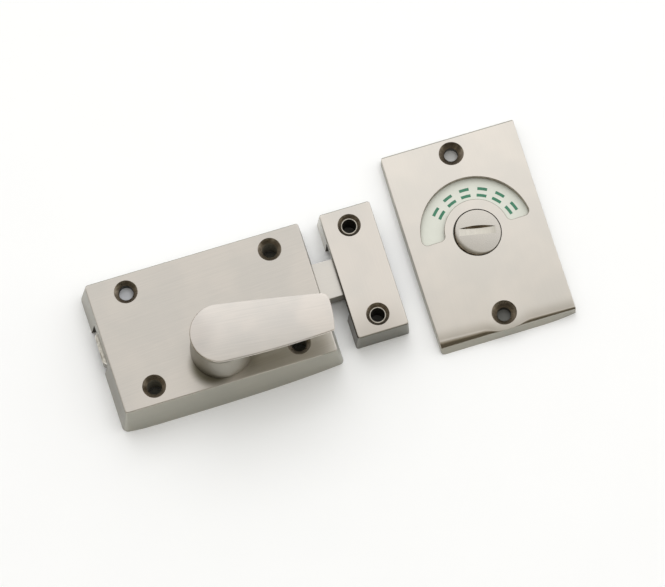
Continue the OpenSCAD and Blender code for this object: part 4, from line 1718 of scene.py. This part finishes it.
@dataclass
class Studio:
    """The floor and the papers of painted shade and light on it, the lamps and the camera."""

    floor_half: float = 4.0
    floor_parts: int = 8
    azimuth_deg: float = -17.14
    elevation_deg: float = 75.0
    distance: float = 1.0
    target: Three = (0.04102, -0.00044, 0.0)
    lens: float = 162.96
    sensor: float = 36.0
    clip: Flat = (0.01, 20.0)
    lamps: tuple[SoftBox, ...] = (
        SoftBox("over_lamp", (0.1, -0.05, 1.0), 0.9, 4.6),
        SoftBox("far_lamp", (0.1, 0.58, 0.81), 0.7, 2.6),
    )
    lamp_distance: float = 1.2
    sky_way: Three = (0.4, 0.917, 0.0)
    low_sky: Flat = (0.03, 0.95)
    low_band: Flat = (-0.6, 0.5)
    high_sky: Flat = (0.4, 1.2)
    high_band: Flat = (-0.3, 0.5)
    rise_band: Flat = (0.25, 0.95)
    sweep: float = 0.85
    sweep_band: Flat = (0.09, 0.14)
    near_tint: Colour = (1.0, 0.95, 0.8)
    far_tint: Colour = (1.0, 1.0, 0.995)
    tint_band: Flat = (-0.5, 0.3)
    paper_r: float = 3.4
    paper_t: float = 0.05
    roll_top: float = 9.6
    roll_play: float = 0.1

    def build(self) -> None:
        """Builds the whole studio."""
        self.build_floor()
        self.build_shade_papers()
        self.build_sky()
        for lamp in self.lamps:
            self.build_lamp(lamp)
        self.build_camera()

    def build_floor(self) -> None:
        """Builds the white floor."""
        maker = bmesh.new()
        parts = self.floor_parts
        bmesh.ops.create_grid(maker, x_segments=parts, y_segments=parts, size=self.floor_half)
        mesh = bpy.data.meshes.new("floor")
        maker.to_mesh(mesh)
        maker.free()
        mesh.materials.append(FLOOR_PAPER.material())
        floor = bpy.data.objects.new("floor", mesh)
        bpy.context.scene.collection.objects.link(floor)

    def build_shade_papers(self) -> None:
        """Lays painted shade, paper on the floor under the screw holes; in the case's far left one a pale
        roll stands as painted light.
        """
        case = BoltCase()
        flat = (self.paper_r, self.paper_t)
        papers = [(mouth, OLIVE_SHADE_PAPER, flat) for mouth in case.mouths()]
        papers[1] = (case.mouths()[1], LIT_ROLL_PAPER, (case.hole_r - self.roll_play, self.roll_top))
        papers += [(mouth, DARK_SHADE_PAPER, flat) for mouth in Keep().mouths()]
        papers += [(*pair, flat) for pair in zip(IndicatorPlate().mouths(), (GREY_SHADE_PAPER, PALE_SHADE_PAPER))]
        for i, (mouth, finish, (radius, top)) in enumerate(papers):
            paper = Shape.drum(radius, (0.0, top), (mouth.x, mouth.y), finish, SMALL_ROUND)
            paper.moved(Matrix.Scale(MM, 4))
            paper.obj.name = f"hole_shade_{i}"

    def build_sky(self) -> None:
        """Builds the soft light all round: a dark room on the near side, and a pale sweep below it."""
        world = bpy.data.worlds.new("studio_sky")
        bpy.context.scene.world = world
        world.use_nodes = True
        graph = Graph(world.node_tree)
        way = graph.coordinates("Generated")
        up = graph.add("ShaderNodeSeparateXYZ", {0: way}).outputs["Z"]
        back = graph.vectors(way, self.sky_way, "DOT_PRODUCT")
        low = graph.span(back, self.low_band, self.low_sky, True)
        high = graph.span(back, self.high_band, self.high_sky, True)
        above = graph.between(graph.span(up, self.rise_band, smooth=True), low, high)
        level = graph.between(graph.span(up, self.sweep_band, FALLING, True), above, self.sweep)
        tint = graph.blend(graph.span(back, self.tint_band, smooth=True), self.near_tint, self.far_tint)
        soft = graph.add("ShaderNodeBackground", {"Color": tint, "Strength": level})
        graph.add("ShaderNodeOutputWorld", {"Surface": soft.outputs[0]})

    def build_lamp(self, lamp: SoftBox) -> None:
        """Builds a soft box above the object.

        Args:
            lamp: What it is like.
        """
        light = bpy.data.lights.new(lamp.name, "AREA")
        light.shape = "SQUARE"
        light.size = lamp.size
        light.energy = lamp.power
        obj = bpy.data.objects.new(lamp.name, light)
        obj.visible_camera = False
        obj.visible_glossy = False
        self.aim(obj, Vector(lamp.way).normalized(), self.lamp_distance)

    def build_camera(self) -> None:
        """Builds the camera at the photo's angle."""
        turn, rise = math.radians(self.azimuth_deg), math.radians(self.elevation_deg)
        back = Vector((math.sin(turn) * math.cos(rise), -math.cos(turn) * math.cos(rise), math.sin(rise)))
        lens = bpy.data.cameras.new("camera")
        lens.lens = self.lens
        lens.sensor_width = self.sensor
        lens.sensor_fit = "HORIZONTAL"
        lens.clip_start, lens.clip_end = self.clip
        camera = bpy.data.objects.new("camera", lens)
        self.aim(camera, back, self.distance)
        bpy.context.scene.camera = camera

    def aim(self, obj: bpy.types.Object, back: Vector, distance: float) -> None:
        """Puts a lamp or the camera at a distance from the target and aims it there.

        Args:
            obj: The lamp or camera.
            back: The way from the target to it.
            distance: The distance, in metres.
        """
        obj.location = Vector(self.target) + back * distance
        obj.rotation_euler = back.to_track_quat("Z", "Y").to_euler()
        bpy.context.scene.collection.objects.link(obj)


def main() -> None:
    """Builds the scene."""
    logging.basicConfig(level=logging.INFO, format="%(message)s")
    bpy.context.scene.view_settings.view_transform = "Standard"
    parts = (BoltCase(), SlideBolt(), Turn(), Keep(), IndicatorPlate(), Release(), HiddenParts(), Studio())
    for part in parts:
        part.build()


if __name__ == "__main__":
    main()
